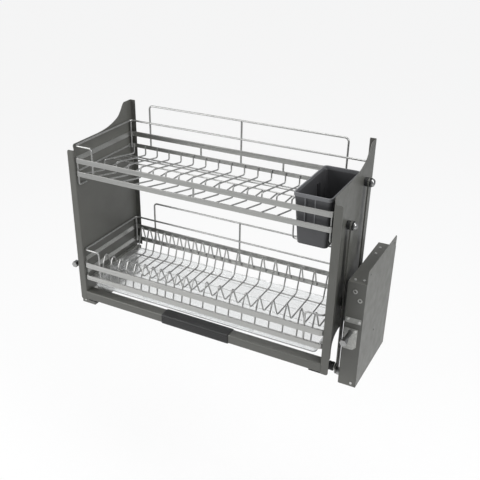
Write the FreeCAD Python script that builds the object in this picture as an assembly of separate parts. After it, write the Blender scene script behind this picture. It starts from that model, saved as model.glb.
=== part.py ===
import FreeCAD, Part
import math
import os

# A pull-down dish rack for a wall cabinet, in millimetres.
# Two baskets hang between two side panels. Two parallel arms on each side
# carry the panels, and each pair of arms turns on a side unit that is
# screwed to the cabinet's side wall.
# The shapes are drawn from the rack's own corner: X runs to the right from
# the middle, Y runs to the back from the rack's front face, and Z runs up
# from the foot of the side panels. Each finished shape is then moved so that
# the origin is the middle of the base of the whole part.

# Rack width, depth and height
panel_outer_x = 361.0
sheet = 1.5
panel_inner_x = panel_outer_x - sheet
panel_depth = 266.0
panel_top_z = 523.5
panel_shoulder_z = 470.0
weld_gap = 0.1

# Side panel outline
leg_depth = 69.0
leg_arch_start_z = 28.0
arch_end_y = 107.0
arch_end_z = 67.0
arch_mid_y = 78.0
arch_mid_z = 53.0
top_corner_r = 2.0
front_corner_r = 5.0
shoulder_curve = [(233.0, panel_top_z), (226.0, 518.0), (213.0, 501.0), (198.0, 488.5), (168.0, 477.5),
                  (138.0, 472.0), (108.0, panel_shoulder_z)]
front_flange_width = 17.8
front_flange_top_z = 453.0
flange_corner = 7.0
rear_flange_width = 18.0

# Flat rails
rail_thick = 2.5
rail_corner_r = 12.0
rail_end_x = panel_inner_x - weld_gap
rear_rail_back_y = 260.8
rear_rail_front_y = rear_rail_back_y - rail_thick
rail_return = 14.0
upper_rail_1 = (420.0, 434.0)
upper_rail_2_front = (383.0, 397.0)
upper_rail_2_rear = (387.0, 398.5)
lower_rail_1_front = (108.0, 124.0)
lower_rail_2_front = (70.0, 84.0)
lower_rail_1_rear = (124.1, 138.0)
lower_rail_2_rear = (84.1, 98.0)

# Round wires
frame_wire_r = 2.5
floor_wire_r = 2.0
frame_bend_r = 10.0
front_frame_y = rail_thick + frame_wire_r + weld_gap
loop_y = rear_rail_back_y + frame_wire_r + weld_gap
top_wire_rear_y = loop_y - 2 * frame_wire_r - weld_gap
top_wire_x = 355.0
side_wire_x = panel_inner_x - frame_wire_r - weld_gap
side_wire_z = 394.4
floor_step = 2 * floor_wire_r + weld_gap

# Upper basket
upper_top_wire_z = 466.0
short_wire_end_y = 215.0
upper_wrap_x = 302.0
upper_loop_x = 292.0
upper_loop_top_z = 514.5
upper_post_x = -2.0
short_post_x = 124.0
front_post_x = 2.0
floor_first_x = -347.0
floor_pitch = 40.0
floor_count = 15
floor_rear_y = rear_rail_front_y - floor_wire_r - weld_gap
floor_rear_top_z = 397.0
floor_low_z = 369.0
floor_step_y = 113.0
floor_step_top_z = 394.0
floor_step_foot_z = 365.0
floor_front_z = 389.0
floor_bend_r = 6.0
rear_long_wire_y = 232.0
middle_long_wire_y = 156.0
next_long_wire_y = 208.0
short_wire_rear_y = 160.0
short_wire_front_y = 106.5
hook_top_z = 432.0
hook_foot_z = 357.0
hook_rear_y = 37.8

# Cutlery box
cutlery_wall = 1.8
cutlery_top = (258.0, 348.0, 12.0, 203.0)
cutlery_foot = (268.0, 342.0, 18.0, 196.0)
cutlery_rim = (256.5, 349.4, 9.0, 204.6)
cutlery_base_z = 332.0
cutlery_rim_z = 450.0
cutlery_top_z = 459.0
cutlery_corner_r = 9.0
cutlery_panel = (286.0, 310.0, 390.0, 446.0)
cutlery_panel_depth = 3.0
cutlery_rib_y = 147.0
cutlery_rib_width = 16.0
cutlery_rib_depth = 2.0
cutlery_rib_top_z = 430.0
cradle_wire_z = cutlery_base_z - floor_wire_r - 0.3
cradle_left_x = 250.0
cradle_right_x = side_wire_x - frame_wire_r - floor_wire_r - weld_gap
cradle_front_y = 40.0
cradle_start_x = 170.0
cradle_top_z = 397.0

# Lower basket
lower_top_wire_z = 163.0
lower_wrap_x = 307.0
lower_loop_x = 289.0
lower_loop_top_z = 218.0
lower_post_x = -1.0
divider_close_first_x = -320.0
divider_close_pitch = 26.4
divider_close_count = 12
divider_wide_first_x = 9.0
divider_wide_pitch = 38.6
divider_wide_count = 9
divider_floor_z = 75.5
divider_foot_y = 30.6
divider_outline = [(256.2, 87.0), (238.0, 156.0), (211.0, divider_floor_z), (84.0, divider_floor_z),
                   (54.0, 142.0), (38.0, 110.0), (30.0, 64.0)]
divider_bends = [6.0, 12.0, 12.0, 6.0, 20.0]
lower_long_wire_z = divider_floor_z - floor_step
lower_long_rear_y = 197.0
lower_long_front_y = 78.0
foot_wire_y = divider_foot_y - floor_step
foot_wire_z = 67.0

# Drip tray and its runners
tray_side_gap = 13.4
tray_rim = 8.0
tray_rim_half = rail_end_x - tray_side_gap
tray_half = tray_rim_half - tray_rim
tray_front_y = 15.0
tray_rear_y = 252.0
tray_base_z = 45.5
tray_rim_z = 60.0
tray_wall = 2.0
tray_corner_r = 10.0
tray_lip_height = 7.0
runner_gap = 2.0
runner_lip_x = tray_half + runner_gap
runner_web_x = tray_rim_half + runner_gap
runner_front_y = 32.0
runner_rear_y = 256.0
runner_top_z = 69.1

# Handle bar
bar_depth = 32.0
bar_bottom_z = 3.0
bar_top_z = 28.0
bar_edge_r = 3.0
grip_half = 102.0
grip_thick = 2.5
grip_seat_gap = 0.05
foot_inner_x = 326.0
foot_outer_x = 357.5
foot_front_y = 5.0
foot_rear_y = 27.0
foot_bottom_z = -4.0
bracket_reach_x = 19.4
bracket_reach_y = 50.0
bracket_low_z = 8.0
bracket_high_z = 25.0

# Arms and their pivots
arm_inner_x = 369.0
arm_thick = 4.0
arm_outer_x = arm_inner_x + arm_thick
arm_half_width = 9.0
front_pivot_y = 99.0
front_upper_z = 365.0
front_lower_z = -51.0
rear_pivot_y = 205.0
rear_upper_z = 435.0
arm_length = front_upper_z - front_lower_z
rear_lower_z = rear_upper_z - arm_length
upper_end_r = 12.0
rivet_r = 4.0
bush_sleeve_r = 6.0
pivot_clearance = 0.06
bush_flange_r = 11.0
seat_gap = 0.3
rivet_head_x = 378.0
rivet_head_height = 7.2
rivet_head_r = 10.0
shaft_r = 6.0
shaft_neck_r = 4.0
shaft_end_x = 430.2
collar_r = 10.0
cap_x = 365.5
cap_r = 9.0
stop_y = 87.0
stop_z = -32.0
stop_r = 12.0
stop_inner_x = 350.0
stop_outer_x = 366.7
stop_pin_r = 4.0
stop_pin_head_r = 7.0
stop_pin_head_x = 347.5
stop_collar_r = 9.0
stop_ear_r = 9.0
pad_y = 113.0
pad_z = 148.0
pad_r = 11.0

# Side units
unit_inner_x = 386.3
unit_plate = 2.0
unit_outer_x = 432.4
unit_front_y = 66.0
unit_rear_y = 299.7
unit_bottom_z = -61.4
unit_top_z = 237.5
unit_edge_r = 3.0
unit_shell_x = unit_inner_x + unit_plate + weld_gap
tab_front_y = 68.5
tab_top_z = 272.0
tab_corner_r = 8.0
tab_hole_r = 2.75
tab_hole_z = 256.0
tab_hole_front_y = 89.0
tab_hole_spacing = 190.0
low_hole_y = 176.0
low_hole_z = 51.0
plate_bush_r = 8.6
plate_bush_flange_r = 16.0
plate_bush_end_x = 403.5
wall_bush_x = 421.0
wall_bush_r = 14.0
damper_r = 24.0
damper_x0 = 404.2
damper_x1 = 420.2
damper_post_r = 3.5
damper_post_offset = 20.2

# Force adjuster
adjuster_x = 405.0
adjuster_z = 98.0
adjuster_head_y = 12.0
adjuster_head_length = 16.0
adjuster_flats = 16.0
adjuster_stem_r = 4.0
adjuster_sleeve_r = 5.5
adjuster_stem_end_y = 175.0
adjuster_collar_r = 7.0
adjuster_collar_length = 3.0
adjuster_clearance = 0.3
bracket_outline = [(388.6, 50.0), (414.0, 50.0), (423.0, 59.0), (423.0, 111.0), (388.6, 111.0)]
bracket_thick = 2.0
nut_front_y = 104.0
nut_length = 26.0
nut_half = 10.0
nut_rail_gap = 0.3
nut_thread_gap = 0.06
front_plate_x = (389.0, 429.0)
front_plate_z = (126.0, 140.5)
front_plate_thick = 1.2
screw_head_r = 3.6
screw_head_height = 1.8
screw_shank_r = 1.9
screw_length = 6.0
front_screws = [(396.0, 136.0, front_plate_thick), (424.5, 132.5, front_plate_thick),
                (393.5, 57.0, bracket_thick), (417.0, 104.5, bracket_thick), (420.0, -51.0, 0.0)]
top_screws = [(400.0, 270.0), (400.0, 233.0), (399.0, 81.0), (420.0, 85.0)]
ring_places = [(406.0, 214.0), (420.0, 192.0)]
ring_r = 6.0
ring_hole_r = 2.8
ring_height = 1.5

# The working corner is moved to the middle of the base
front_most_y = -grip_thick
origin_y = (front_most_y + unit_rear_y) / 2
to_origin = FreeCAD.Vector(0, -origin_y, -unit_bottom_z)


def point(x, y, z):
    return FreeCAD.Vector(x, y, z)


def block(x0, x1, y0, y1, z0, z1):
    return Part.makeBox(x1 - x0, y1 - y0, z1 - z0, point(x0, y0, z0))


def rod(radius, start, end):
    along = end.sub(start)
    return Part.makeCylinder(radius, along.Length, start, along)


def rod_x(radius, x0, x1, y, z):
    return rod(radius, point(x0, y, z), point(x1, y, z))


def mirrored(shape):
    return shape.mirror(point(0, 0, 0), point(1, 0, 0))


def both_sides(solids):
    return solids + [mirrored(solid) for solid in solids]


def save(name, solids):
    shape = solids[0]
    if len(solids) > 1:
        shape = Part.makeCompound(solids)
    shape = shape.copy()
    shape.translate(to_origin)
    shape.exportStep("parts/" + name + ".step")


def save_pair(name, solids):
    save(name + "_right", solids)
    save(name + "_left", [mirrored(solid) for solid in solids])


# A round wire along straight runs joined by round bends
def bent_wire(points, radius, bends):
    edges = []
    start = points[0]
    corners = zip(points, points[1:], points[2:], bends)
    for before, corner, after, bend in corners:
        to_before = before.sub(corner).normalize()
        to_after = after.sub(corner).normalize()
        half_turn = to_before.getAngle(to_after) / 2
        reach = bend / math.tan(half_turn)
        first = corner + to_before * reach
        last = corner + to_after * reach
        inward = (to_before + to_after).normalize()
        middle = corner + inward * (bend / math.sin(half_turn) - bend)
        edges.append(Part.makeLine(start, first))
        edges.append(Part.Arc(first, middle, last).toShape())
        start = last
    edges.append(Part.makeLine(start, points[-1]))
    path = Part.Wire(edges)
    section = Part.Wire([Part.makeCircle(radius, points[0], points[1].sub(points[0]))])
    return path.makePipeShell([section], True, False)


# A flat outline in the XY plane with rounded corners
def rounded_outline(x0, x1, y0, y1, z, radius):
    corners = [point(x0, y0, z), point(x1, y0, z), point(x1, y1, z), point(x0, y1, z)]
    edges = []
    starts = []
    for index, corner in enumerate(corners):
        before = corners[index - 1]
        after = corners[(index + 1) % len(corners)]
        to_before = before.sub(corner).normalize()
        to_after = after.sub(corner).normalize()
        first = corner + to_before * radius
        last = corner + to_after * radius
        middle = corner + (to_before + to_after) * (radius * (1 - math.sqrt(0.5)))
        starts.append((first, middle, last))
    for index, (first, middle, last) in enumerate(starts):
        following = starts[(index + 1) % len(starts)][0]
        edges.append(Part.Arc(first, middle, last).toShape())
        edges.append(Part.makeLine(last, following))
    return Part.Wire(edges)


def rounded_prism(x0, x1, y0, y1, z0, z1, radius):
    outline = rounded_outline(x0, x1, y0, y1, z0, radius)
    return Part.Face(outline).extrude(point(0, 0, z1 - z0))


def rounded_loft(low, low_z, high, high_z, radius):
    foot = rounded_outline(*low, low_z, radius)
    head = rounded_outline(*high, high_z, radius)
    return Part.makeLoft([foot, head], True, True)


def grown(outline, amount):
    x0, x1, y0, y1 = outline
    return (x0 - amount, x1 + amount, y0 - amount, y1 + amount)


def edges_along(shape, axis):
    found = []
    for edge in shape.Edges:
        first = edge.valueAt(edge.FirstParameter)
        last = edge.valueAt(edge.LastParameter)
        along = last.sub(first)
        if along.Length > 0 and abs(along.dot(axis)) > 0.999 * along.Length:
            found.append(edge)
    return found


# Side panels with an outward front flange and an inward rear flange
def side_panel():
    x = panel_inner_x

    def at(y, z):
        return point(x, y, z)

    corner = top_corner_r
    slant = corner * (1 - math.sqrt(0.5))
    front_slant = front_corner_r * (1 - math.sqrt(0.5))
    curve = Part.BSplineCurve()
    curve.interpolate([at(y, z) for y, z in shoulder_curve])
    first_y, first_z = shoulder_curve[0]
    last_y, last_z = shoulder_curve[-1]
    edges = [
        Part.makeLine(at(0, 0), at(leg_depth, 0)),
        Part.makeLine(at(leg_depth, 0), at(leg_depth, leg_arch_start_z)),
        Part.Arc(at(leg_depth, leg_arch_start_z), at(arch_mid_y, arch_mid_z),
                 at(arch_end_y, arch_end_z)).toShape(),
        Part.makeLine(at(arch_end_y, arch_end_z), at(panel_depth, arch_end_z)),
        Part.makeLine(at(panel_depth, arch_end_z), at(panel_depth, panel_top_z - corner)),
        Part.Arc(at(panel_depth, panel_top_z - corner), at(panel_depth - slant, panel_top_z - slant),
                 at(panel_depth - corner, panel_top_z)).toShape(),
        Part.makeLine(at(panel_depth - corner, panel_top_z), at(first_y, first_z)),
        curve.toShape(),
        Part.makeLine(at(last_y, last_z), at(front_corner_r, panel_shoulder_z)),
        Part.Arc(at(front_corner_r, panel_shoulder_z), at(front_slant, panel_shoulder_z - front_slant),
                 at(0, panel_shoulder_z - front_corner_r)).toShape(),
        Part.makeLine(at(0, panel_shoulder_z - front_corner_r), at(0, 0)),
    ]
    web = Part.Face(Part.Wire(edges)).extrude(point(sheet, 0, 0))
    front = front_flange()
    rear = block(panel_outer_x - rear_flange_width, panel_outer_x, panel_depth - sheet, panel_depth,
                 arch_end_z, panel_top_z)
    panel = web.fuse([front, rear]).removeSplitter()
    for y, z in [(front_pivot_y, front_upper_z), (rear_pivot_y, rear_upper_z)]:
        panel = panel.cut(rod_x(rivet_r + pivot_clearance, x - sheet, panel_outer_x + sheet, y, z))
    return panel


def front_flange():
    outer = panel_outer_x + front_flange_width
    cut = flange_corner
    points = [point(panel_inner_x, 0, 0), point(outer - cut, 0, 0), point(outer, 0, cut),
              point(outer, 0, front_flange_top_z - cut), point(outer - cut, 0, front_flange_top_z),
              point(panel_inner_x, 0, front_flange_top_z), point(panel_inner_x, 0, 0)]
    return Part.Face(Part.makePolygon(points)).extrude(point(0, sheet, 0))


# Flat rails: a closed hoop, and front and rear bars with short returns
def hoop(z_range):
    low, high = z_range
    outer = rounded_prism(-rail_end_x, rail_end_x, 0, rear_rail_back_y, low, high, rail_corner_r)
    inner = rounded_prism(-rail_end_x + rail_thick, rail_end_x - rail_thick, rail_thick,
                          rear_rail_front_y, low, high, rail_corner_r - rail_thick)
    return outer.cut(inner)


def front_bar(z_range):
    return hoop(z_range).common(block(-rail_end_x, rail_end_x, 0, rail_return, *z_range))


def rear_bar(z_range):
    start = rear_rail_back_y - rail_return
    return hoop(z_range).common(block(-rail_end_x, rail_end_x, start, rear_rail_back_y, *z_range))


# A rear rail whose ends run along the sides, to the front corners
def wrapped_bar(z_range):
    return hoop(z_range).common(block(-rail_end_x, rail_end_x, rail_corner_r, rear_rail_back_y, *z_range))


# Frame wire of a basket: up from the front rail, round the sides and the back
def top_wire(wrap_x, top_z, foot_z):
    points = [point(-wrap_x, front_frame_y, foot_z), point(-wrap_x, front_frame_y, top_z),
              point(-top_wire_x, front_frame_y, top_z), point(-top_wire_x, top_wire_rear_y, top_z),
              point(top_wire_x, top_wire_rear_y, top_z), point(top_wire_x, front_frame_y, top_z),
              point(wrap_x, front_frame_y, top_z), point(wrap_x, front_frame_y, foot_z)]
    return bent_wire(points, frame_wire_r, [frame_bend_r] * 6)


# The upper one comes down inside the hoop at the right, behind the cutlery box
def short_top_wire(wrap_x, top_z, foot_z):
    leg_x = rail_end_x - rail_thick - weld_gap - frame_wire_r
    leg_foot_z = side_wire_z + 2 * frame_wire_r + weld_gap
    points = [point(-wrap_x, front_frame_y, foot_z), point(-wrap_x, front_frame_y, top_z),
              point(-top_wire_x, front_frame_y, top_z), point(-top_wire_x, top_wire_rear_y, top_z),
              point(leg_x, top_wire_rear_y, top_z), point(leg_x, short_wire_end_y, top_z),
              point(leg_x, short_wire_end_y, leg_foot_z)]
    return bent_wire(points, frame_wire_r, [frame_bend_r] * 5)


def back_loop(leg_x, foot_z, top_z):
    points = [point(-leg_x, loop_y, foot_z), point(-leg_x, loop_y, top_z),
              point(leg_x, loop_y, top_z), point(leg_x, loop_y, foot_z)]
    return bent_wire(points, frame_wire_r, [frame_bend_r] * 2)


# The place of a round wire that nestles in a rail's inner corner: its X, and
# its distance behind the rail's outer face
def in_rail_corner(radius):
    reach = (rail_corner_r - rail_thick - radius - weld_gap) * math.sqrt(0.5)
    return rail_end_x - rail_corner_r + reach, rail_corner_r - reach


def upright(x, y, low, high):
    return rod(frame_wire_r, point(x, y, low), point(x, y, high))


def upper_posts():
    middle = upright(upper_post_x, loop_y, upper_rail_2_rear[0],
                     upper_loop_top_z - frame_wire_r - weld_gap)
    rail_mid_y = rear_rail_front_y + rail_thick / 2
    low = upper_rail_2_rear[1] + weld_gap
    high = upper_rail_1[0] - weld_gap
    short = upright(short_post_x, rail_mid_y, low, high)
    front = upright(front_post_x, front_frame_y - frame_wire_r, upper_rail_2_front[1] + weld_gap, high)
    x, y = in_rail_corner(frame_wire_r)
    corner = upright(x, rear_rail_back_y - y, upper_rail_2_rear[0],
                     upper_top_wire_z - frame_wire_r - weld_gap)
    return [middle, front] + both_sides([short, corner])


def lower_posts():
    middle = upright(lower_post_x, loop_y, lower_rail_2_rear[0],
                     lower_loop_top_z - frame_wire_r - weld_gap)
    x, y = in_rail_corner(frame_wire_r)
    corner = upright(x, rear_rail_back_y - y, lower_rail_2_rear[0],
                     lower_top_wire_z - frame_wire_r - weld_gap)
    return [middle] + both_sides([corner])


def side_wire():
    return rod(frame_wire_r, point(side_wire_x, rail_return + weld_gap, side_wire_z),
               point(side_wire_x, rear_rail_back_y - rail_return - weld_gap, side_wire_z))


# Upper floor: wires from back to front with a step in the middle
def floor_slope():
    return (floor_step_top_z - floor_low_z) / (floor_rear_y - floor_step_y)


def floor_z(y):
    return floor_low_z + floor_slope() * (floor_rear_y - y)


def front_floor_z(y):
    return floor_step_foot_z + (floor_front_z - floor_step_foot_z) * (1 - y / floor_step_y)


def floor_wire(x):
    outline = [(floor_rear_y, floor_rear_top_z), (floor_rear_y, floor_low_z),
               (floor_step_y, floor_step_top_z), (floor_step_y, floor_step_foot_z),
               (rail_thick + weld_gap, floor_front_z)]
    points = [point(x, y, z) for y, z in outline]
    return bent_wire(points, floor_wire_r, [floor_bend_r] * 3)


def under_floor(y):
    tilt = math.cos(math.atan(floor_slope()))
    return floor_z(y) - floor_step / tilt


def straight_long_wire(y, z):
    return rod(floor_wire_r, point(-rail_end_x, y, z), point(rail_end_x, y, z))


def cradle_wire(start_x, y, z):
    points = [point(start_x, y, z), point(cradle_left_x, y, z),
              point(cradle_left_x, y, cradle_wire_z), point(cradle_right_x, y, cradle_wire_z),
              point(cradle_right_x, y, cradle_top_z)]
    return bent_wire(points, floor_wire_r, [floor_bend_r] * 3)


def upper_long_wires():
    short_z = under_floor(middle_long_wire_y) - floor_step
    step_y = floor_step_y - floor_step
    front_z = front_floor_z(cradle_front_y) - floor_step / math.cos(
        math.atan((floor_front_z - floor_step_foot_z) / floor_step_y))
    return [straight_long_wire(rear_long_wire_y, under_floor(rear_long_wire_y)),
            straight_long_wire(next_long_wire_y, under_floor(next_long_wire_y)),
            cradle_wire(-rail_end_x, middle_long_wire_y, under_floor(middle_long_wire_y)),
            cradle_wire(-rail_end_x, step_y, short_z - floor_step),
            cradle_wire(cradle_start_x, cradle_front_y, front_z)]


def upper_short_wires():
    z = under_floor(middle_long_wire_y) - floor_step
    wires = []
    for index in range(floor_count - 1):
        x = floor_first_x + floor_pitch * (index + 0.5)
        wires.append(rod(floor_wire_r, point(x, short_wire_rear_y, z), point(x, short_wire_front_y, z)))
    return wires


def side_hook():
    x, y = in_rail_corner(floor_wire_r)
    points = [point(x, y, hook_top_z), point(x, y, hook_foot_z), point(x, hook_rear_y, hook_foot_z)]
    return bent_wire(points, floor_wire_r, [floor_bend_r])


def divider_wire(x):
    points = [point(x, y, z) for y, z in divider_outline]
    return bent_wire(points, floor_wire_r, divider_bends)


def divider_row(first_x, pitch, count):
    return [divider_wire(first_x + pitch * index) for index in range(count)]


# Cutlery box: a tapered open box with a thick rim and a low rib on each long wall
def cutlery_box():
    wall = cutlery_wall
    body = rounded_loft(cutlery_foot, cutlery_base_z, cutlery_top, cutlery_rim_z, cutlery_corner_r)
    rim = rounded_prism(*cutlery_rim, cutlery_rim_z, cutlery_top_z, cutlery_corner_r)
    outer = body.fuse(rim)
    hollow = rounded_loft(grown(cutlery_foot, -wall), cutlery_base_z + wall,
                          grown(cutlery_top, -wall), cutlery_top_z + wall, cutlery_corner_r - wall)
    x0, x1, z0, z1 = cutlery_panel
    depth = cutlery_panel_depth
    slope = (cutlery_foot[2] - cutlery_top[2]) / (cutlery_rim_z - cutlery_base_z)
    back_low = cutlery_foot[2] - slope * (z0 - cutlery_base_z) + depth
    back_high = cutlery_foot[2] - slope * (z1 - cutlery_base_z) + depth
    recess = prism_x([(0, z0), (back_low, z0), (back_high, z1), (0, z1)], x0, x1)
    keep_outline = [(0, z0 - wall), (back_low + wall, z0 - wall), (back_high + wall, z1 + wall),
                    (0, z1 + wall)]
    keep = prism_x(keep_outline, x0 - wall, x1 + wall)
    shell = outer.cut(hollow.cut(keep)).cut(recess)
    ribs = [guide_rib(0, 1), guide_rib(1, -1)]
    return shell.fuse([rib.common(body) for rib in ribs]).removeSplitter()


# A rib that follows one of the box's long walls, on its inner side
def guide_rib(wall_index, inward):
    foot_x = cutlery_foot[wall_index]
    top_x = cutlery_top[wall_index]
    share = (cutlery_rib_top_z - cutlery_base_z) / (cutlery_rim_z - cutlery_base_z)
    rib_top_x = foot_x + (top_x - foot_x) * share
    reach = inward * (cutlery_wall + cutlery_rib_depth)
    outline = [(foot_x, cutlery_base_z), (foot_x + reach, cutlery_base_z),
               (rib_top_x + reach, cutlery_rib_top_z), (rib_top_x, cutlery_rib_top_z)]
    return prism_y(outline, cutlery_rib_y, cutlery_rib_y + cutlery_rib_width)


def prism_x(outline, x0, x1):
    points = [point(x0, y, z) for y, z in outline]
    points.append(points[0])
    return Part.Face(Part.makePolygon(points)).extrude(point(x1 - x0, 0, 0))


def prism_y(outline, y0, y1):
    points = [point(x, y0, z) for x, z in outline]
    points.append(points[0])
    return Part.Face(Part.makePolygon(points)).extrude(point(0, y1 - y0, 0))


# Drip tray and the two strips that carry its rim
def drip_tray():
    top = tray_rim_z + tray_wall
    body = rounded_prism(-tray_half, tray_half, tray_front_y, tray_rear_y, tray_base_z, top,
                         tray_corner_r)
    rim = rounded_prism(-tray_rim_half, tray_rim_half, tray_front_y - tray_rim / 4,
                        tray_rear_y + tray_rim / 4, tray_rim_z, top, tray_corner_r)
    wall = tray_wall
    hollow = rounded_prism(-tray_half + wall, tray_half - wall, tray_front_y + wall,
                           tray_rear_y - wall, tray_base_z + wall, top + wall, tray_corner_r - wall)
    lip = block(-tray_half / 2, tray_half / 2, tray_front_y - tray_rim / 4 - wall,
                tray_front_y - tray_rim / 4, top - tray_lip_height, top)
    return body.fuse(rim).fuse(lip).cut(hollow).removeSplitter()


def tray_runner():
    lip_z = tray_rim_z - weld_gap
    outline = [(runner_lip_x, lip_z - sheet), (runner_web_x + sheet, lip_z - sheet),
               (runner_web_x + sheet, runner_top_z - sheet), (rail_end_x, runner_top_z - sheet),
               (rail_end_x, runner_top_z), (runner_web_x, runner_top_z), (runner_web_x, lip_z),
               (runner_lip_x, lip_z)]
    strip = prism_y(outline, runner_front_y, runner_rear_y)
    stop = block(runner_lip_x, runner_web_x + sheet, runner_rear_y - sheet, runner_rear_y,
                 lip_z - sheet, runner_top_z)
    return strip.fuse(stop).removeSplitter()


# Handle bar, grip, feet and end brackets
def rounded_bar(x0, x1, y0, y1, z0, z1, radius):
    bar = block(x0, x1, y0, y1, z0, z1)
    return bar.makeFillet(radius, edges_along(bar, point(1, 0, 0)))


def handle_bar():
    outer = rounded_bar(-rail_end_x, rail_end_x, 0, bar_depth, bar_bottom_z, bar_top_z, bar_edge_r)
    inner = rounded_bar(-rail_end_x, rail_end_x, sheet, bar_depth - sheet, bar_bottom_z + sheet,
                        bar_top_z - sheet, bar_edge_r - sheet)
    return outer.cut(inner)


def handle_grip():
    thick = grip_thick
    gap = grip_seat_gap
    outer = rounded_bar(-grip_half, grip_half, -thick, bar_depth + thick, bar_bottom_z - thick,
                        bar_top_z + thick, bar_edge_r + thick)
    inner = rounded_bar(-grip_half, grip_half, -gap, bar_depth + gap, bar_bottom_z - gap,
                        bar_top_z + gap, bar_edge_r + gap)
    return outer.cut(inner)


def bar_foot():
    return rounded_prism(foot_inner_x, foot_outer_x, foot_front_y, foot_rear_y, foot_bottom_z,
                         bar_bottom_z - weld_gap, bar_edge_r)


def bar_bracket():
    back = bar_depth + weld_gap
    on_panel = block(rail_end_x - sheet, rail_end_x, back, bracket_reach_y, bracket_low_z,
                     bracket_high_z)
    on_bar = block(rail_end_x - bracket_reach_x, rail_end_x, back, back + sheet, bracket_low_z,
                   bracket_high_z)
    return on_panel.fuse(on_bar).removeSplitter()


# Arms: flat bars with round ends, turning on shafts in the side units
def arm_bar(y, low_z, high_z):
    bar = block(arm_inner_x, arm_outer_x, y - arm_half_width, y + arm_half_width, low_z, high_z)
    low_end = rod_x(arm_half_width, arm_inner_x, arm_outer_x, y, low_z)
    high_end = rod_x(upper_end_r, arm_inner_x, arm_outer_x, y, high_z)
    return bar.fuse([low_end, high_end])


def front_arm():
    ear = rod_x(stop_ear_r, arm_inner_x, arm_outer_x, stop_y, stop_z)
    arm = arm_bar(front_pivot_y, front_lower_z, front_upper_z).fuse(ear).removeSplitter()
    arm = arm.cut(arm_hole(front_pivot_y, front_upper_z))
    arm = arm.cut(shaft_hole(front_pivot_y, front_lower_z))
    return arm.cut(rod_x(stop_pin_r + pivot_clearance, arm_inner_x, arm_outer_x, stop_y, stop_z))


def rear_arm():
    arm = arm_bar(rear_pivot_y, rear_lower_z, rear_upper_z).removeSplitter()
    arm = arm.cut(arm_hole(rear_pivot_y, rear_upper_z))
    return arm.cut(shaft_hole(rear_pivot_y, rear_lower_z))


def arm_hole(y, z):
    return rod_x(bush_sleeve_r + pivot_clearance, arm_inner_x, arm_outer_x, y, z)


def shaft_hole(y, z):
    return rod_x(shaft_neck_r + pivot_clearance, arm_inner_x, arm_outer_x, y, z)


# Lower shaft: a stepped pin whose thin end holds the arm
def lower_shaft(y, z):
    cap = rod_x(cap_r, cap_x, arm_inner_x - weld_gap, y, z)
    neck = rod_x(shaft_neck_r, cap_x, arm_outer_x + weld_gap, y, z)
    collar = rod_x(collar_r, arm_outer_x + weld_gap, unit_inner_x - seat_gap, y, z)
    shaft = rod_x(shaft_r, arm_outer_x + weld_gap, shaft_end_x, y, z)
    return cap.fuse([neck, collar, shaft]).removeSplitter()


def stop_bumper():
    roll = rod_x(stop_r, stop_inner_x, stop_outer_x, stop_y, stop_z)
    roll = roll.makeFillet(1.5, [edge for edge in roll.Edges if edge.Length > 1.9 * math.pi * stop_r
                                 and edge.BoundBox.XLength < 1.0])
    return roll.cut(rod_x(stop_pin_r + pivot_clearance, stop_inner_x, stop_outer_x, stop_y, stop_z))


def stop_pin():
    pin = rod_x(stop_pin_r, stop_pin_head_x, arm_outer_x, stop_y, stop_z)
    head = rod_x(stop_pin_head_r, stop_pin_head_x, stop_inner_x - weld_gap, stop_y, stop_z)
    collar = rod_x(stop_collar_r, stop_outer_x + weld_gap, arm_inner_x - weld_gap, stop_y, stop_z)
    return pin.fuse([head, collar]).removeSplitter()


# Upper pivots: a rivet through the panel, a flanged bush and a washer
def pivot_rivet(y, z):
    shank = rod_x(rivet_r, panel_inner_x, rivet_head_x, y, z)
    radius = (rivet_head_r ** 2 + rivet_head_height ** 2) / (2 * rivet_head_height)
    centre_x = rivet_head_x + rivet_head_height - radius
    ball = Part.makeSphere(radius, point(centre_x, y, z))
    keep = rod_x(rivet_head_r, rivet_head_x, rivet_head_x + rivet_head_height + 1, y, z)
    return shank.fuse(ball.common(keep)).removeSplitter()


def upper_bush(y, z):
    flange = rod_x(bush_flange_r, panel_outer_x + weld_gap, arm_inner_x - seat_gap, y, z)
    sleeve = rod_x(bush_sleeve_r, panel_outer_x + weld_gap, arm_outer_x + seat_gap, y, z)
    bore = rod_x(rivet_r + pivot_clearance, panel_outer_x, rivet_head_x, y, z)
    washer = rod_x(bush_flange_r, arm_outer_x + seat_gap + weld_gap, rivet_head_x - weld_gap, y, z)
    return [flange.fuse(sleeve).cut(bore), washer.cut(bore)]


def upper_pivots():
    return [(front_pivot_y, front_upper_z), (rear_pivot_y, rear_upper_z)]


def guide_pad():
    return rod_x(pad_r, panel_outer_x + weld_gap, arm_inner_x - seat_gap, pad_y, pad_z)


# Side units: a shell, an inner plate with bushes, and the force adjuster
def lower_pivots():
    return [(front_pivot_y, front_lower_z), (rear_pivot_y, rear_lower_z)]


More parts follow.
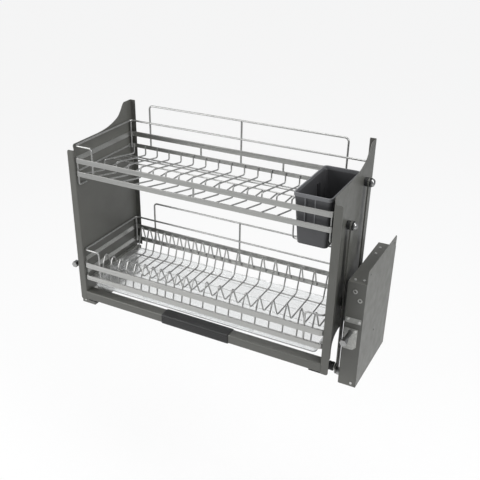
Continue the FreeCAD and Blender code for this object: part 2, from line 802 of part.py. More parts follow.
def unit_shell():
    outer = block(unit_shell_x, unit_outer_x, unit_front_y, unit_rear_y, unit_bottom_z, unit_top_z)
    outer = outer.makeFillet(unit_edge_r, [edge for edge in edges_along(outer, point(0, 0, 1))
                                           if edge.BoundBox.XMin > unit_outer_x - 1])
    inner = block(unit_shell_x, unit_outer_x - sheet, unit_front_y + sheet, unit_rear_y - sheet,
                  unit_bottom_z + sheet, unit_top_z - sheet)
    shell = outer.cut(inner)
    shell = shell.fuse(unit_tab()).removeSplitter()
    shell = shell.cut(rod_x(tab_hole_r, unit_outer_x - 2 * sheet, unit_outer_x + sheet, low_hole_y,
                            low_hole_z))
    shell = shell.cut(adjuster_hole(unit_front_y - sheet, unit_front_y + 2 * sheet))
    for x, z, seat in front_screws:
        shell = shell.cut(rod(screw_shank_r + pivot_clearance, point(x, unit_front_y - sheet, z),
                              point(x, unit_front_y + 2 * sheet, z)))
    for x, y in top_screws:
        shell = shell.cut(rod(screw_shank_r + pivot_clearance, point(x, y, unit_top_z + sheet),
                              point(x, y, unit_top_z - 2 * sheet)))
    for x, z in ring_places:
        shell = shell.cut(rod(ring_hole_r, point(x, unit_front_y - sheet, z),
                              point(x, unit_front_y + 2 * sheet, z)))
    return shell


def unit_tab():
    x0 = unit_outer_x - sheet
    low = unit_top_z - sheet
    tab = block(x0, unit_outer_x, tab_front_y, unit_rear_y - unit_edge_r, low, tab_top_z)
    tops = [edge for edge in edges_along(tab, point(1, 0, 0)) if edge.BoundBox.ZMin > tab_top_z - 1]
    tab = tab.makeFillet(tab_corner_r, tops)
    for y in [tab_hole_front_y, tab_hole_front_y + tab_hole_spacing]:
        tab = tab.cut(rod_x(tab_hole_r, x0 - sheet, unit_outer_x + sheet, y, tab_hole_z))
    return tab


def unit_plate_inner():
    plate = block(unit_inner_x, unit_inner_x + unit_plate, unit_front_y, unit_rear_y, unit_bottom_z,
                  unit_top_z)
    for y, z in lower_pivots():
        plate = plate.cut(rod_x(plate_bush_r + pivot_clearance, unit_inner_x, unit_shell_x, y, z))
    return plate


def plate_bush(y, z):
    tube = rod_x(plate_bush_r, unit_inner_x, plate_bush_end_x, y, z)
    flange = rod_x(plate_bush_flange_r, unit_shell_x, unit_shell_x + 2 * sheet, y, z)
    return tube.fuse(flange.common(unit_inside())).cut(shaft_bore(y, z))


def wall_bush(y, z):
    ring = rod_x(wall_bush_r, wall_bush_x, unit_outer_x - sheet - weld_gap, y, z)
    return ring.common(unit_inside()).cut(shaft_bore(y, z))


# The room inside a side unit, a little clear of its walls
def unit_inside():
    room = sheet + weld_gap
    return block(unit_inner_x, unit_outer_x - room, unit_front_y + room, unit_rear_y - room,
                 unit_bottom_z + room, unit_top_z - room)


def shaft_bore(y, z):
    return rod_x(shaft_r + pivot_clearance, unit_inner_x, unit_outer_x, y, z)


# Turning damper on the rear shaft, held by two posts on the inner plate
def damper():
    body = rod_x(damper_r, damper_x0, damper_x1, rear_pivot_y, rear_lower_z)
    posts = []
    for side in (-1, 1):
        z = rear_lower_z + side * damper_post_offset
        posts.append(rod_x(damper_post_r, unit_shell_x, damper_x1, rear_pivot_y, z))
    bore = rod_x(shaft_r + seat_gap, damper_x0, damper_x1, rear_pivot_y, rear_lower_z)
    return body.fuse(posts).cut(bore).removeSplitter()


def adjuster_hole(y0, y1):
    return rod(adjuster_stem_r + adjuster_clearance, point(adjuster_x, y0, adjuster_z),
               point(adjuster_x, y1, adjuster_z))


def adjuster_bracket():
    y0 = unit_front_y - weld_gap - bracket_thick
    plate = prism_y(bracket_outline, y0, unit_front_y - weld_gap)
    plate = plate.cut(adjuster_hole(y0 - sheet, unit_front_y + sheet))
    for x, z, seat in front_screws:
        if seat == bracket_thick:
            plate = plate.cut(screw_hole(x, z, y0))
    return plate


def screw_hole(x, z, y0):
    return rod(screw_shank_r + pivot_clearance, point(x, y0 - sheet, z),
               point(x, unit_front_y + sheet, z))


def adjuster_bolt():
    head = hexagon(adjuster_flats, adjuster_x, adjuster_z, adjuster_head_y,
                   adjuster_head_y + adjuster_head_length)
    stem = rod(adjuster_stem_r, point(adjuster_x, adjuster_head_y, adjuster_z),
               point(adjuster_x, adjuster_stem_end_y, adjuster_z))
    face = unit_front_y - weld_gap - bracket_thick - seat_gap
    collar = rod(adjuster_collar_r, point(adjuster_x, face - adjuster_collar_length, adjuster_z),
                 point(adjuster_x, face, adjuster_z))
    sleeve = rod(adjuster_sleeve_r, point(adjuster_x, adjuster_head_y, adjuster_z),
                 point(adjuster_x, face, adjuster_z))
    return head.fuse([stem, sleeve, collar]).removeSplitter()


def hexagon(flats, x, z, y0, y1):
    reach = flats / math.sqrt(3)
    points = []
    for index in range(7):
        turn = math.radians(60 * index)
        points.append(point(x + reach * math.cos(turn), y0, z + reach * math.sin(turn)))
    return Part.Face(Part.makePolygon(points)).extrude(point(0, y1 - y0, 0))


def tension_nut():
    nut = block(unit_shell_x + nut_rail_gap, adjuster_x + nut_half, nut_front_y,
                nut_front_y + nut_length, adjuster_z - nut_half, adjuster_z + nut_half)
    return nut.cut(rod(adjuster_stem_r + nut_thread_gap, point(adjuster_x, nut_front_y, adjuster_z),
                       point(adjuster_x, nut_front_y + nut_length, adjuster_z)))


def front_plate():
    y1 = unit_front_y - weld_gap
    y0 = y1 - front_plate_thick
    plate = block(*front_plate_x, y0, y1, *front_plate_z)
    for x, z, seat in front_screws:
        if seat == front_plate_thick:
            plate = plate.cut(screw_hole(x, z, y0))
    return plate


def unit_screws():
    screws = []
    for x, z, seat in front_screws:
        face = unit_front_y - weld_gap
        if seat > 0:
            face = face - seat - weld_gap
        screws.append(screw(point(x, face, z), point(0, -1, 0)))
    for x, y in top_screws:
        screws.append(screw(point(x, y, unit_top_z + weld_gap), point(0, 0, 1)))
    return screws


def screw(seat, outward):
    head = Part.makeCylinder(screw_head_r, screw_head_height, seat, outward)
    shank = Part.makeCylinder(screw_shank_r, screw_length, seat - outward * screw_length, outward)
    return head.fuse(shank).removeSplitter()


def unit_rings():
    rings = []
    for x, z in ring_places:
        y1 = unit_front_y - weld_gap
        ring = rod(ring_r, point(x, y1 - ring_height, z), point(x, y1, z))
        rings.append(ring.cut(rod(ring_hole_r, point(x, y1 - ring_height, z), point(x, y1, z))))
    return rings


os.makedirs("parts", exist_ok=True)

# Side units
save_pair("unit_shell", [unit_shell()])
save_pair("unit_inner_plate", [unit_plate_inner()])
save_pair("front_plate", [front_plate()])
save_pair("adjuster_bracket", [adjuster_bracket()])
save_pair("adjuster_bolt", [adjuster_bolt()])
save_pair("tension_nut", [tension_nut()])
save("shaft_bushes", both_sides([plate_bush(y, z) for y, z in lower_pivots()]
                                + [wall_bush(y, z) for y, z in lower_pivots()]))
save("turning_dampers", both_sides([damper()]))
save("unit_screws", both_sides(unit_screws()))
save("unit_rings", both_sides(unit_rings()))

# Arms
save_pair("front_arm", [front_arm()])
save_pair("rear_arm", [rear_arm()])
save_pair("front_shaft", [lower_shaft(front_pivot_y, front_lower_z)])
save_pair("rear_shaft", [lower_shaft(rear_pivot_y, rear_lower_z)])
save_pair("stop_bumper", [stop_bumper()])
save_pair("stop_pin", [stop_pin()])

# Rack sides and handle
save_pair("side_panel", [side_panel()])
save("pivot_rivets", both_sides([pivot_rivet(y, z) for y, z in upper_pivots()]))
bushes = []
for pivot in upper_pivots():
    bushes = bushes + upper_bush(*pivot)
save("pivot_bushes", both_sides(bushes))
save("guide_pads", both_sides([guide_pad()]))
save("handle_bar", [handle_bar()])
save("handle_grip", [handle_grip()])
save("bar_feet", both_sides([bar_foot()]))
save("bar_brackets", both_sides([bar_bracket()]))

# Upper basket
save("upper_hoop", [hoop(upper_rail_1)])
save("upper_front_rail", [front_bar(upper_rail_2_front)])
save("upper_rear_rail", [rear_bar(upper_rail_2_rear)])
save("upper_side_wires", both_sides([side_wire()]))
save("upper_top_wire", [short_top_wire(upper_wrap_x, upper_top_wire_z, upper_rail_2_front[0])])
save("upper_back_loop", [back_loop(upper_loop_x, upper_rail_2_rear[0], upper_loop_top_z)])
save("upper_posts", upper_posts())
save("upper_floor_wires", [floor_wire(floor_first_x + floor_pitch * index)
                           for index in range(floor_count)])
save("upper_long_wires", upper_long_wires())
save("upper_short_wires", upper_short_wires())
save("side_hooks", both_sides([side_hook()]))
save("cutlery_box", [cutlery_box()])

# Lower basket and drip tray
save("lower_front_rails", [front_bar(lower_rail_1_front), front_bar(lower_rail_2_front)])
save("lower_rear_rails", [wrapped_bar(lower_rail_1_rear), wrapped_bar(lower_rail_2_rear)])
save("lower_top_wire", [top_wire(lower_wrap_x, lower_top_wire_z, lower_rail_2_front[0])])
save("lower_back_loop", [back_loop(lower_loop_x, lower_rail_2_rear[0], lower_loop_top_z)])
save("lower_posts", lower_posts())
save("divider_wires_close", divider_row(divider_close_first_x, divider_close_pitch,
                                        divider_close_count))
save("divider_wires_wide", divider_row(divider_wide_first_x, divider_wide_pitch, divider_wide_count))
save("lower_long_wires", [straight_long_wire(lower_long_rear_y, lower_long_wire_z),
                          straight_long_wire(lower_long_front_y, lower_long_wire_z),
                          straight_long_wire(foot_wire_y, foot_wire_z)])
save("tray_runners", both_sides([tray_runner()]))
save("drip_tray", [drip_tray()])
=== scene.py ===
"""Looks of a pull-down dish rack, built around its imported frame.

Sizes are in millimetres from the rack's own corner: X runs to the right from
the middle, Y to the back from the rack's front face, and Z up from the foot
of the side panels. A finished form is put into the frame, in metres. The
floor, the lamps and the materials' patterns are given in metres.
"""

import logging
import math
from dataclasses import dataclass
from enum import Enum
from typing import Iterable, Sequence

import bmesh
import bpy
from mathutils import Matrix, Vector


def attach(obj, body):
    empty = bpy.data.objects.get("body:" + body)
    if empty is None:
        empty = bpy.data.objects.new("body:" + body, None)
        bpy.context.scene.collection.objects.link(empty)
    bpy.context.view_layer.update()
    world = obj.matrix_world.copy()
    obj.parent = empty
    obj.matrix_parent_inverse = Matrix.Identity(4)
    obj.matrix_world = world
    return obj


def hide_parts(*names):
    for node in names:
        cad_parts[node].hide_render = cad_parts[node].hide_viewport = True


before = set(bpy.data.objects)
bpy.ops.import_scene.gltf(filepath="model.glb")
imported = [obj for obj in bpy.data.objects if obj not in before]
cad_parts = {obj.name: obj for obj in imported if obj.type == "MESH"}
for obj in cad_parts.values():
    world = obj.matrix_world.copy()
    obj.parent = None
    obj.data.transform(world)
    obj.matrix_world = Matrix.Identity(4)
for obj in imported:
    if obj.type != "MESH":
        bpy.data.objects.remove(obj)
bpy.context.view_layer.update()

log = logging.getLogger("dish_rack")

Point = tuple[float, float, float]
Pair = tuple[float, float]
Profile = tuple[Pair, ...]
Footprint = tuple[float, float, float, float]
Edges = list[bmesh.types.BMEdge]
Faces = list[bmesh.types.BMFace]
Verts = list[bmesh.types.BMVert]

MM = 0.001
ORIGIN = Vector((0.0, 148.6, -61.4))
TO_FRAME = Matrix.Diagonal((MM, MM, MM, 1.0)) @ Matrix.Translation(-ORIGIN)
RIGHT: Point = (1.0, 0.0, 0.0)
BACK: Point = (0.0, 1.0, 0.0)
FRONT: Point = (0.0, -1.0, 0.0)
UP: Point = (0.0, 0.0, 1.0)
AIR = 0.1
WIRE_SOFT = 0.4
SMOOTH_ANGLE = 35.0
FACING = 0.9
SQUARE_ON = 0.99


class Side(Enum):
    """The left or right side of the rack, as the sign of X."""

    LEFT = -1
    RIGHT = 1

    @property
    def word(self) -> str:
        """The side's name as the frame's nodes spell it."""
        return self.name.lower()


@dataclass(frozen=True)
class Surface:
    """How a pattern varies a surface.

    The grain is the finish's own fine pattern: noise with a detail, or cells
    where the detail is None. The colour, the roughness and the relief follow it,
    unless cloud, sheen or pits gives them a noise of so many repeats per metre.
    """

    detail: float | None
    smoother: float
    rougher: float
    relief: float
    strength: float
    cloud: float = 0.0
    sheen: float = 0.0
    pits: float = 0.0


class Pattern(Enum):
    """The kinds of surface that the rack's finishes have."""

    POWDER = Surface(2.0, 0.05, 0.06, 0.00006, 0.35, cloud=16.0, sheen=40.0)
    BRUSHED = Surface(4.0, 0.07, 0.1, 0.00002, 0.3)
    POLISHED = Surface(4.0, 0.05, 0.08, 0.00001, 0.15, cloud=60.0)
    ZINC = Surface(None, 0.08, 0.08, 0.00003, 0.2, pits=900.0)
    MOULDED = Surface(3.0, 0.06, 0.06, 0.00005, 0.3, cloud=30.0)
    RUBBER = Surface(5.0, 0.1, 0.08, 0.00008, 0.35)
    FROSTED = Surface(3.0, 0.05, 0.05, 0.00002, 0.1)


class Plane(Enum):
    """The plane that a flat outline is drawn in."""

    YZ = "YZ"
    XZ = "XZ"
    XY = "XY"

    def lift(self, first: float, second: float, level: float) -> Vector:
        """Puts a flat point at its level.

        Args:
            first: The outline's first number.
            second: The outline's second number.
            level: The place along the axis that the plane faces.

        Returns:
            The point in space.
        """
        if self is Plane.YZ:
            return Vector((level, first, second))
        if self is Plane.XZ:
            return Vector((first, level, second))
        return Vector((first, second, level))

    def turn(self) -> Matrix:
        """The turn that lays a circle from the XY plane into this plane.

        Returns:
            The turn.
        """
        if self is Plane.XY:
            return Matrix.Identity(4)
        return Matrix.Rotation(math.pi / 2, 4, "Y" if self is Plane.YZ else "X")


class NodeSheet:
    """The nodes of a material or a world while they are being laid out."""

    def __init__(self, owner: bpy.types.Material | bpy.types.World, output: str) -> None:
        """Empties the owner's nodes and adds its output.

        Args:
            owner: The material or the world.
            output: The kind of its output node.
        """
        owner.use_nodes = True
        self.tree = owner.node_tree
        self.tree.nodes.clear()
        self.output = self.add(output)

    def add(self, kind: str) -> bpy.types.Node:
        """Adds a node of a kind."""
        return self.tree.nodes.new(kind)

    def link(self, start: bpy.types.NodeSocket, end: bpy.types.NodeSocket) -> None:
        """Joins one socket to another."""
        self.tree.links.new(start, end)

    def background_rays(self) -> bpy.types.NodeSocket:
        """Tells the rays that show the background itself.

        Returns:
            The socket, 1 for a ray from the camera or one that went through glass.
        """
        rays, either = self.add("ShaderNodeLightPath"), self.add("ShaderNodeMath")
        either.operation = "MAXIMUM"
        self.link(rays.outputs["Is Camera Ray"], either.inputs[0])
        self.link(rays.outputs["Is Transmission Ray"], either.inputs[1])
        return either.outputs[0]

    def blend(self, share: bpy.types.NodeSocket, plain: bpy.types.Node,
              shown: bpy.types.Node) -> None:
        """Mixes two shaders into the output.

        Args:
            share: How much of the second one there is, from 0 to 1.
            plain: The first shader.
            shown: The second shader.
        """
        mix = self.add("ShaderNodeMixShader")
        for index, socket in enumerate((share, plain.outputs[0], shown.outputs[0])):
            self.link(socket, mix.inputs[index])
        self.link(mix.outputs[0], self.output.inputs[0])


class MaterialSheet(NodeSheet):
    """The nodes of a material with one main shader."""

    pattern_low = 0.3
    pattern_high = 0.7

    def __init__(self, material: bpy.types.Material) -> None:
        """Empties the material and adds its main shader.

        Args:
            material: The material.
        """
        super().__init__(material, "ShaderNodeOutputMaterial")
        self.shader = self.add("ShaderNodeBsdfPrincipled")
        self.link(self.shader.outputs[0], self.output.inputs[0])

    def set(self, name: str, value: float | tuple[float, ...]) -> None:
        """Sets one of the main shader's values."""
        self.shader.inputs[name].default_value = value

    def _placed(self, kind: str, stretch: Point) -> bpy.types.Node:
        """Adds a texture in object coordinates.

        Args:
            kind: The kind of texture node.
            stretch: How often it repeats per metre along X, Y and Z.

        Returns:
            The texture node.
        """
        coordinates, mapping = self.add("ShaderNodeTexCoord"), self.add("ShaderNodeMapping")
        mapping.inputs["Scale"].default_value = stretch
        self.link(coordinates.outputs["Object"], mapping.inputs["Vector"])
        texture = self.add(kind)
        texture.inputs["Scale"].default_value = 1.0
        self.link(mapping.outputs["Vector"], texture.inputs["Vector"])
        return texture

    def noise(self, stretch: Point, detail: float = 3.0) -> bpy.types.NodeSocket:
        """Soft noise.

        Args:
            stretch: How often it repeats per metre along X, Y and Z.
            detail: How many finer layers are added.

        Returns:
            The socket that holds the noise, from 0 to 1.
        """
        noise = self._placed("ShaderNodeTexNoise", stretch)
        noise.inputs["Detail"].default_value = detail
        return noise.outputs["Fac"]

    def cells(self, stretch: Point) -> bpy.types.NodeSocket:
        """Random shades in cells, as on zinc.

        Args:
            stretch: How often they repeat per metre along X, Y and Z.

        Returns:
            The socket that holds each cell's shade.
        """
        cells = self._placed("ShaderNodeTexVoronoi", stretch)
        shade = self.add("ShaderNodeSeparateColor")
        self.link(cells.outputs["Color"], shade.inputs[0])
        return shade.outputs[0]

    def roughen(self, value: bpy.types.NodeSocket, low: float, high: float) -> None:
        """Varies the roughness with a pattern.

        Args:
            value: The pattern.
            low: The roughness where it is low.
            high: The roughness where it is high.
        """
        span = self.add("ShaderNodeMapRange")
        span.inputs["From Min"].default_value = self.pattern_low
        span.inputs["From Max"].default_value = self.pattern_high
        span.inputs["To Min"].default_value = low
        span.inputs["To Max"].default_value = high
        self.link(value, span.inputs["Value"])
        self.link(span.outputs["Result"], self.shader.inputs["Roughness"])

    def mottle(self, value: bpy.types.NodeSocket, colour: Point, amount: float) -> None:
        """Varies the main colour with a pattern.

        Args:
            value: The pattern.
            colour: The colour in the middle.
            amount: How far the colour goes each way, as a share of itself.
        """
        ramp = self.add("ShaderNodeValToRGB")
        low, high = ramp.color_ramp.elements
        low.position, high.position = self.pattern_low, self.pattern_high
        low.color = (*[channel * (1 - amount) for channel in colour], 1.0)
        high.color = (*[min(1.0, channel * (1 + amount)) for channel in colour], 1.0)
        self.link(value, ramp.inputs["Fac"])
        self.link(ramp.outputs["Color"], self.shader.inputs["Base Color"])

    def bump(self, value: bpy.types.NodeSocket, height: float, strength: float) -> None:
        """Raises the surface with a pattern.

        Args:
            value: The pattern.
            height: Its height in metres.
            strength: How much of it shows, from 0 to 1.
        """
        bump = self.add("ShaderNodeBump")
        bump.inputs["Strength"].default_value = strength
        bump.inputs["Distance"].default_value = height
        self.link(value, bump.inputs["Height"])
        self.link(bump.outputs["Normal"], self.shader.inputs["Normal"])


@dataclass(frozen=True)
class Finish:
    """A surface finish of the rack.

    The slot names the record's material slot for this finish; only the log
    of carried-over nodes reads it. The grain is how often the fine pattern
    repeats per metre.
    """

    title: str
    slot: str
    colour: Point
    roughness: float
    pattern: Pattern
    grain: float = 800.0
    metallic: float = 0.0
    mottle: float = 0.05
    brushed_along: float = 5.0
    clearness: float = 0.88
    refraction: float = 1.49

    def material(self) -> bpy.types.Material:
        """Finds this finish's material, or makes it the first time.

        Returns:
            The material.
        """
        known = bpy.data.materials.get(self.title)
        if known is not None:
            return known
        material = bpy.data.materials.new(self.title)
        sheet, surface = MaterialSheet(material), self.pattern.value
        sheet.set("Metallic", self.metallic)
        if self.pattern is Pattern.FROSTED:
            sheet.set("Transmission Weight", self.clearness)
            sheet.set("IOR", self.refraction)
        along = self.brushed_along if self.pattern is Pattern.BRUSHED else self.grain
        stretch = (along, self.grain, self.grain)
        if surface.detail is None:
            grain = sheet.cells(stretch)
        else:
            grain = sheet.noise(stretch, surface.detail)
        colour, gloss, relief = (sheet.noise((often, often, often)) if often else grain
                                 for often in (surface.cloud, surface.sheen, surface.pits))
        sheet.mottle(colour, self.colour, self.mottle)
        sheet.roughen(gloss, self.roughness - surface.smoother, self.roughness + surface.rougher)
        sheet.bump(relief, surface.relief, surface.strength)
        return material


GREY_PAINT = Finish("rack_powder_coat", "grey_paint", (0.1, 0.1, 0.09), 0.38, Pattern.POWDER)
UNIT_PAINT = Finish("unit_powder_coat", "unit_paint", (0.125, 0.125, 0.113), 0.42, Pattern.POWDER)
RAIL_STEEL = Finish("rail_brushed_steel", "rail_steel", (0.4, 0.4, 0.385), 0.3, Pattern.BRUSHED,
                    700.0, 0.9, 0.08)
BAR_PAINT = Finish("bar_satin_coat", "rail_steel", (0.115, 0.115, 0.105), 0.36, Pattern.BRUSHED,
                   600.0, 0.3, 0.08)
WIRE = Finish("drawn_wire", "wire_chrome", (0.42, 0.42, 0.41), 0.28, Pattern.POLISHED,
              500.0, 0.85, 0.06)
BRIGHT = Finish("plated_metal", "bright_metal", (0.34, 0.34, 0.335), 0.3, Pattern.POLISHED,
                400.0, 1.0, 0.05)
SCREW_PLATE = Finish("screw_plating", "bright_metal", (0.7, 0.7, 0.68), 0.42, Pattern.POLISHED,
                     400.0, 0.5, 0.05)
ZINC = Finish("zinc_plate", "zinc", (0.42, 0.42, 0.4), 0.4, Pattern.ZINC, 260.0, 0.8, 0.12)
PALE_PLATE = Finish("pale_metal", "pale_plate", (0.4, 0.4, 0.38), 0.42, Pattern.ZINC,
                    200.0, 0.3, 0.06)
DARK_PLASTIC = Finish("dark_moulding", "dark_plastic", (0.018, 0.018, 0.018), 0.5,
                      Pattern.MOULDED, 1200.0)
GRIP_PLASTIC = Finish("grip_moulding", "grip", (0.01, 0.01, 0.01), 0.42, Pattern.MOULDED,
                      1500.0, 0.0, 0.1)
BOX_PLASTIC = Finish("box_moulding", "cutlery_plastic", (0.059, 0.059, 0.062), 0.36,
                     Pattern.MOULDED, 1400.0)
# The box's plastic painted lighter on the rim and the trims beside the panel: a painted highlight
# where light falls on them.
PAINTED_HIGHLIGHT_PLASTIC = Finish("rim_painted_highlight", "cutlery_plastic", (0.15, 0.152, 0.158), 0.34,
                     Pattern.MOULDED, 1400.0)
# The box's plastic painted darker on the guide ribs: painted shade where the wall lies in shade.
PAINTED_SHADE_PLASTIC = Finish("rib_painted_shade", "cutlery_plastic", (0.028, 0.028, 0.03), 0.4,
                     Pattern.MOULDED, 1400.0)
TRAY_PLASTIC = Finish("tray_moulding", "tray_plastic", (0.97, 0.98, 0.98), 0.14,
                      Pattern.FROSTED, 500.0, 0.0, 0.01)
RUBBER = Finish("black_rubber", "rubber", (0.012, 0.012, 0.012), 0.75, Pattern.RUBBER,
                600.0, 0.0, 0.15)


def verts_of(geom: Iterable[object]) -> Verts:
    """The vertices among mesh elements."""
    return [item for item in geom if isinstance(item, bmesh.types.BMVert)]


def faces_of(geom: Iterable[object]) -> Faces:
    """The faces among mesh elements."""
    return [item for item in geom if isinstance(item, bmesh.types.BMFace)]


def rectangle(low: Pair, high: Pair) -> list[Pair]:
    """The corners of a rectangle, in order round it."""
    return [low, (high[0], low[1]), high, (low[0], high[1])]


def arc(middle: Pair, radius: float, start: float, sweep: float, steps: int) -> list[Pair]:
    """Finds points along a round arc.

    Args:
        middle: The arc's middle.
        radius: Its radius.
        start: The angle where it starts.
        sweep: The angle that it runs through.
        steps: How many steps it has.

    Returns:
        The points, both ends included.
    """
    turns = [start + sweep * step / steps for step in range(steps + 1)]
    return [(middle[0] + radius * math.cos(turn), middle[1] + radius * math.sin(turn))
            for turn in turns]


def eased(points: Sequence[Pair], steps: int = 5) -> list[Pair]:
    """Runs a smooth curve through flat points.

    Args:
        points: The points.
        steps: How many steps lie between two points.

    Returns:
        The points of the curve.
    """
    flat = [Vector(p) for p in points]
    padded = [2 * flat[0] - flat[1], *flat, 2 * flat[-1] - flat[-2]]
    found: list[Pair] = []
    for index in range(1, len(padded) - 2):
        before, first, last, after = padded[index - 1:index + 3]
        for step in range(steps):
            t = step / steps
            found.append(tuple(0.5 * (2 * first + (last - before) * t
                                      + (2 * before - 5 * first + 4 * last - after) * t * t
                                      + (3 * first - before - 3 * last + after) * t ** 3)))
    found.append(tuple(flat[-1]))
    return found


class Form:
    """A piece's mesh while it is being shaped, in millimetres."""

    bend_step = 16
    hole_sides = 20
    seam = 0.001
    join = 0.01
    long_edge = 1.0

    def __init__(self) -> None:
        """Starts an empty mesh."""
        self.mesh = bmesh.new()

    def slab(self, low: Point, high: Point) -> Verts:
        """Adds a block between two corners.

        Args:
            low: The corner with the lowest X, Y and Z.
            high: The opposite corner.

        Returns:
            The new vertices.
        """
        low_corner, high_corner = Vector(low), Vector(high)
        size = high_corner - low_corner
        matrix = Matrix.Translation((low_corner + high_corner) / 2) @ Matrix.Diagonal((*size, 1.0))
        return bmesh.ops.create_cube(self.mesh, size=1.0, matrix=matrix)["verts"]

    def plate(self, plane: Plane, outline: Sequence[Pair], level: float, thick: float,
              holes: Sequence[Point] = (), corner: float = 0.0, corners: Sequence[int] = ()) -> None:
        """Adds a flat plate with round holes.

        Args:
            plane: The plane of the outline.
            outline: The outline's corners.
            level: Where the plate starts, along the axis that the plane faces.
            thick: How thick it is, along the same axis.
            holes: The middle and the radius of each hole.
            corner: The radius of the rounded corners.
            corners: Which corners are rounded; all of them if none is named.
        """
        made = [self.mesh.verts.new(plane.lift(a, b, level)) for a, b in outline]
        face = self.mesh.faces.new(made)
        if corner > 0:
            before = set(self.mesh.faces) - {face}
            self.bevel([made[index] for index in corners] or made, corner, 5, affect="VERTICES")
            face = next(item for item in self.mesh.faces if item not in before)
        faces = self._pierced(plane, face, level, holes) if holes else [face]
        pushed = bmesh.ops.extrude_face_region(self.mesh, geom=faces, use_keep_orig=True)["geom"]
        bmesh.ops.translate(self.mesh, verts=verts_of(pushed), vec=plane.lift(0.0, 0.0, thick))

    def _pierced(self, plane: Plane, face: bmesh.types.BMFace, level: float,
                 holes: Sequence[Point]) -> Faces:
        """Fills an outline again, with round holes in it.

        Args:
            plane: The plane of the outline.
            face: The face that is pierced.
            level: Where the face lies, along the axis that the plane faces.
            holes: The middle and the radius of each hole.

        Returns:
            The new faces.
        """
        edges = list(face.edges)
        bmesh.ops.delete(self.mesh, geom=[face], context="FACES_ONLY")
        for a, b, radius in holes:
            place = Matrix.Translation(plane.lift(a, b, level)) @ plane.turn()
            circle = bmesh.ops.create_circle(self.mesh, segments=self.hole_sides, radius=radius,
                                             matrix=place)["verts"]
            edges += self._rim(circle)
        return faces_of(bmesh.ops.triangle_fill(self.mesh, use_beauty=True, use_dissolve=False,
                                                edges=edges)["geom"])

    def drum(self, start: Point, end: Point, radius: float, sides: int) -> Verts:
        """Adds a closed round bar between two points.

        Args:
            start: The middle of one end.
            end: The middle of the other end.
            radius: Its radius.
            sides: How many sides it has.

        Returns:
            The new vertices.
        """
        first, last = Vector(start), Vector(end)
        along = last - first
        matrix = (Matrix.Translation((first + last) / 2)
                  @ along.to_track_quat("Z", "Y").to_matrix().to_4x4())
        return bmesh.ops.create_cone(self.mesh, cap_ends=True, segments=sides, radius1=radius,
                                     radius2=radius, depth=along.length, matrix=matrix)["verts"]

    def turned(self, start: Point, axis: Point, profile: Sequence[Pair], steps: int = 28) -> None:
        """Adds a shape turned about an axis.

        Args:
            start: The point on the axis that heights are counted from.
            axis: The axis, pointing the way that heights grow.
            profile: Pairs of radius and height, from one end to the other.
            steps: How many steps the full turn has.
        """
        before = set(self.mesh.verts)
        made = [self.mesh.verts.new((radius, 0.0, height)) for radius, height in profile]
        joined = [self.mesh.edges.new(pair) for pair in zip(made, made[1:])]
        bmesh.ops.spin(self.mesh, geom=made + joined, axis=(0, 0, 1), cent=(0, 0, 0),
                       angle=math.tau, steps=steps, use_merge=True)
        verts = [vert for vert in self.mesh.verts if vert not in before]
        bmesh.ops.remove_doubles(self.mesh, verts=verts, dist=self.seam)
        verts = [vert for vert in verts if vert.is_valid]
        turn = Vector(axis).to_track_quat("Z", "Y").to_matrix().to_4x4()
        bmesh.ops.transform(self.mesh, verts=verts, matrix=Matrix.Translation(start) @ turn)

    def swept(self, points: Sequence[Point], bends: Sequence[float], size: Pair, up: Point = UP,
              sides: int = 12, closed: bool = False) -> None:
        """Adds a bar that follows straight runs joined by round bends.

        Args:
            points: The corners of the path, and its two ends.
            bends: The bend radius at each corner.
            size: The section's width and height. A round wire has its diameter for both.
            up: The way that the section's height points, square to the first run.
            sides: How many sides the section has. A flat bar has 4.
            closed: Whether the end meets the start.
        """
        path = [Vector(p) for p in points]
        heading = (path[1] - path[0]).normalized()
        high = (Vector(up) - heading * Vector(up).dot(heading)).normalized()
        turn = Matrix((high.cross(heading), high, heading)).transposed().to_4x4()
        matrix = Matrix.Translation(path[0]) @ turn @ Matrix.Diagonal((*size, 1.0, 1.0))
        radius = 0.5
        if sides == 4:
            matrix = matrix @ Matrix.Rotation(math.pi / 4, 4, "Z")
            radius = math.sqrt(0.5)
        loop = bmesh.ops.create_circle(self.mesh, segments=sides, radius=radius,
                                       matrix=matrix)["verts"]
        first_loop = list(loop)
        place = path[0]
        for bend, corner, after in zip(bends, path[1:], path[2:]):
            to_place = (place - corner).normalized()
            to_after = (after - corner).normalized()
            half = to_place.angle(to_after) / 2
            reach = bend / math.tan(half)
            loop = self._push(loop, corner + to_place * reach - place)
            centre = corner + (to_place + to_after).normalized() * (bend / math.sin(half))
            axis = to_after.cross(to_place).normalized()
            loop = self._spin(loop, centre, axis, math.pi - 2 * half)
            place = corner + to_after * reach
        loop = self._push(loop, path[-1] - place)
        if closed:
            bmesh.ops.remove_doubles(self.mesh, verts=first_loop + loop, dist=self.join)
            return
        for end in (first_loop, loop):
            bmesh.ops.contextual_create(self.mesh, geom=self._rim(end))

    def _rim(self, verts: Verts) -> Edges:
        """Finds the edges that join some vertices to each other.

        Args:
            verts: The vertices.

        Returns:
            The edges.
        """
        chosen = set(verts)
        return list({edge for vert in verts for edge in vert.link_edges
                     if edge.verts[0] in chosen and edge.verts[1] in chosen})

    def _push(self, loop: Verts, along: Vector) -> Verts:
        """Draws a loop out along a straight run.

        Args:
            loop: The loop's vertices.
            along: The run.

        Returns:
            The vertices of the new end.
        """
        drawn = bmesh.ops.extrude_edge_only(self.mesh, edges=self._rim(loop))["geom"]
        verts = verts_of(drawn)
        bmesh.ops.translate(self.mesh, verts=verts, vec=along)
        return verts

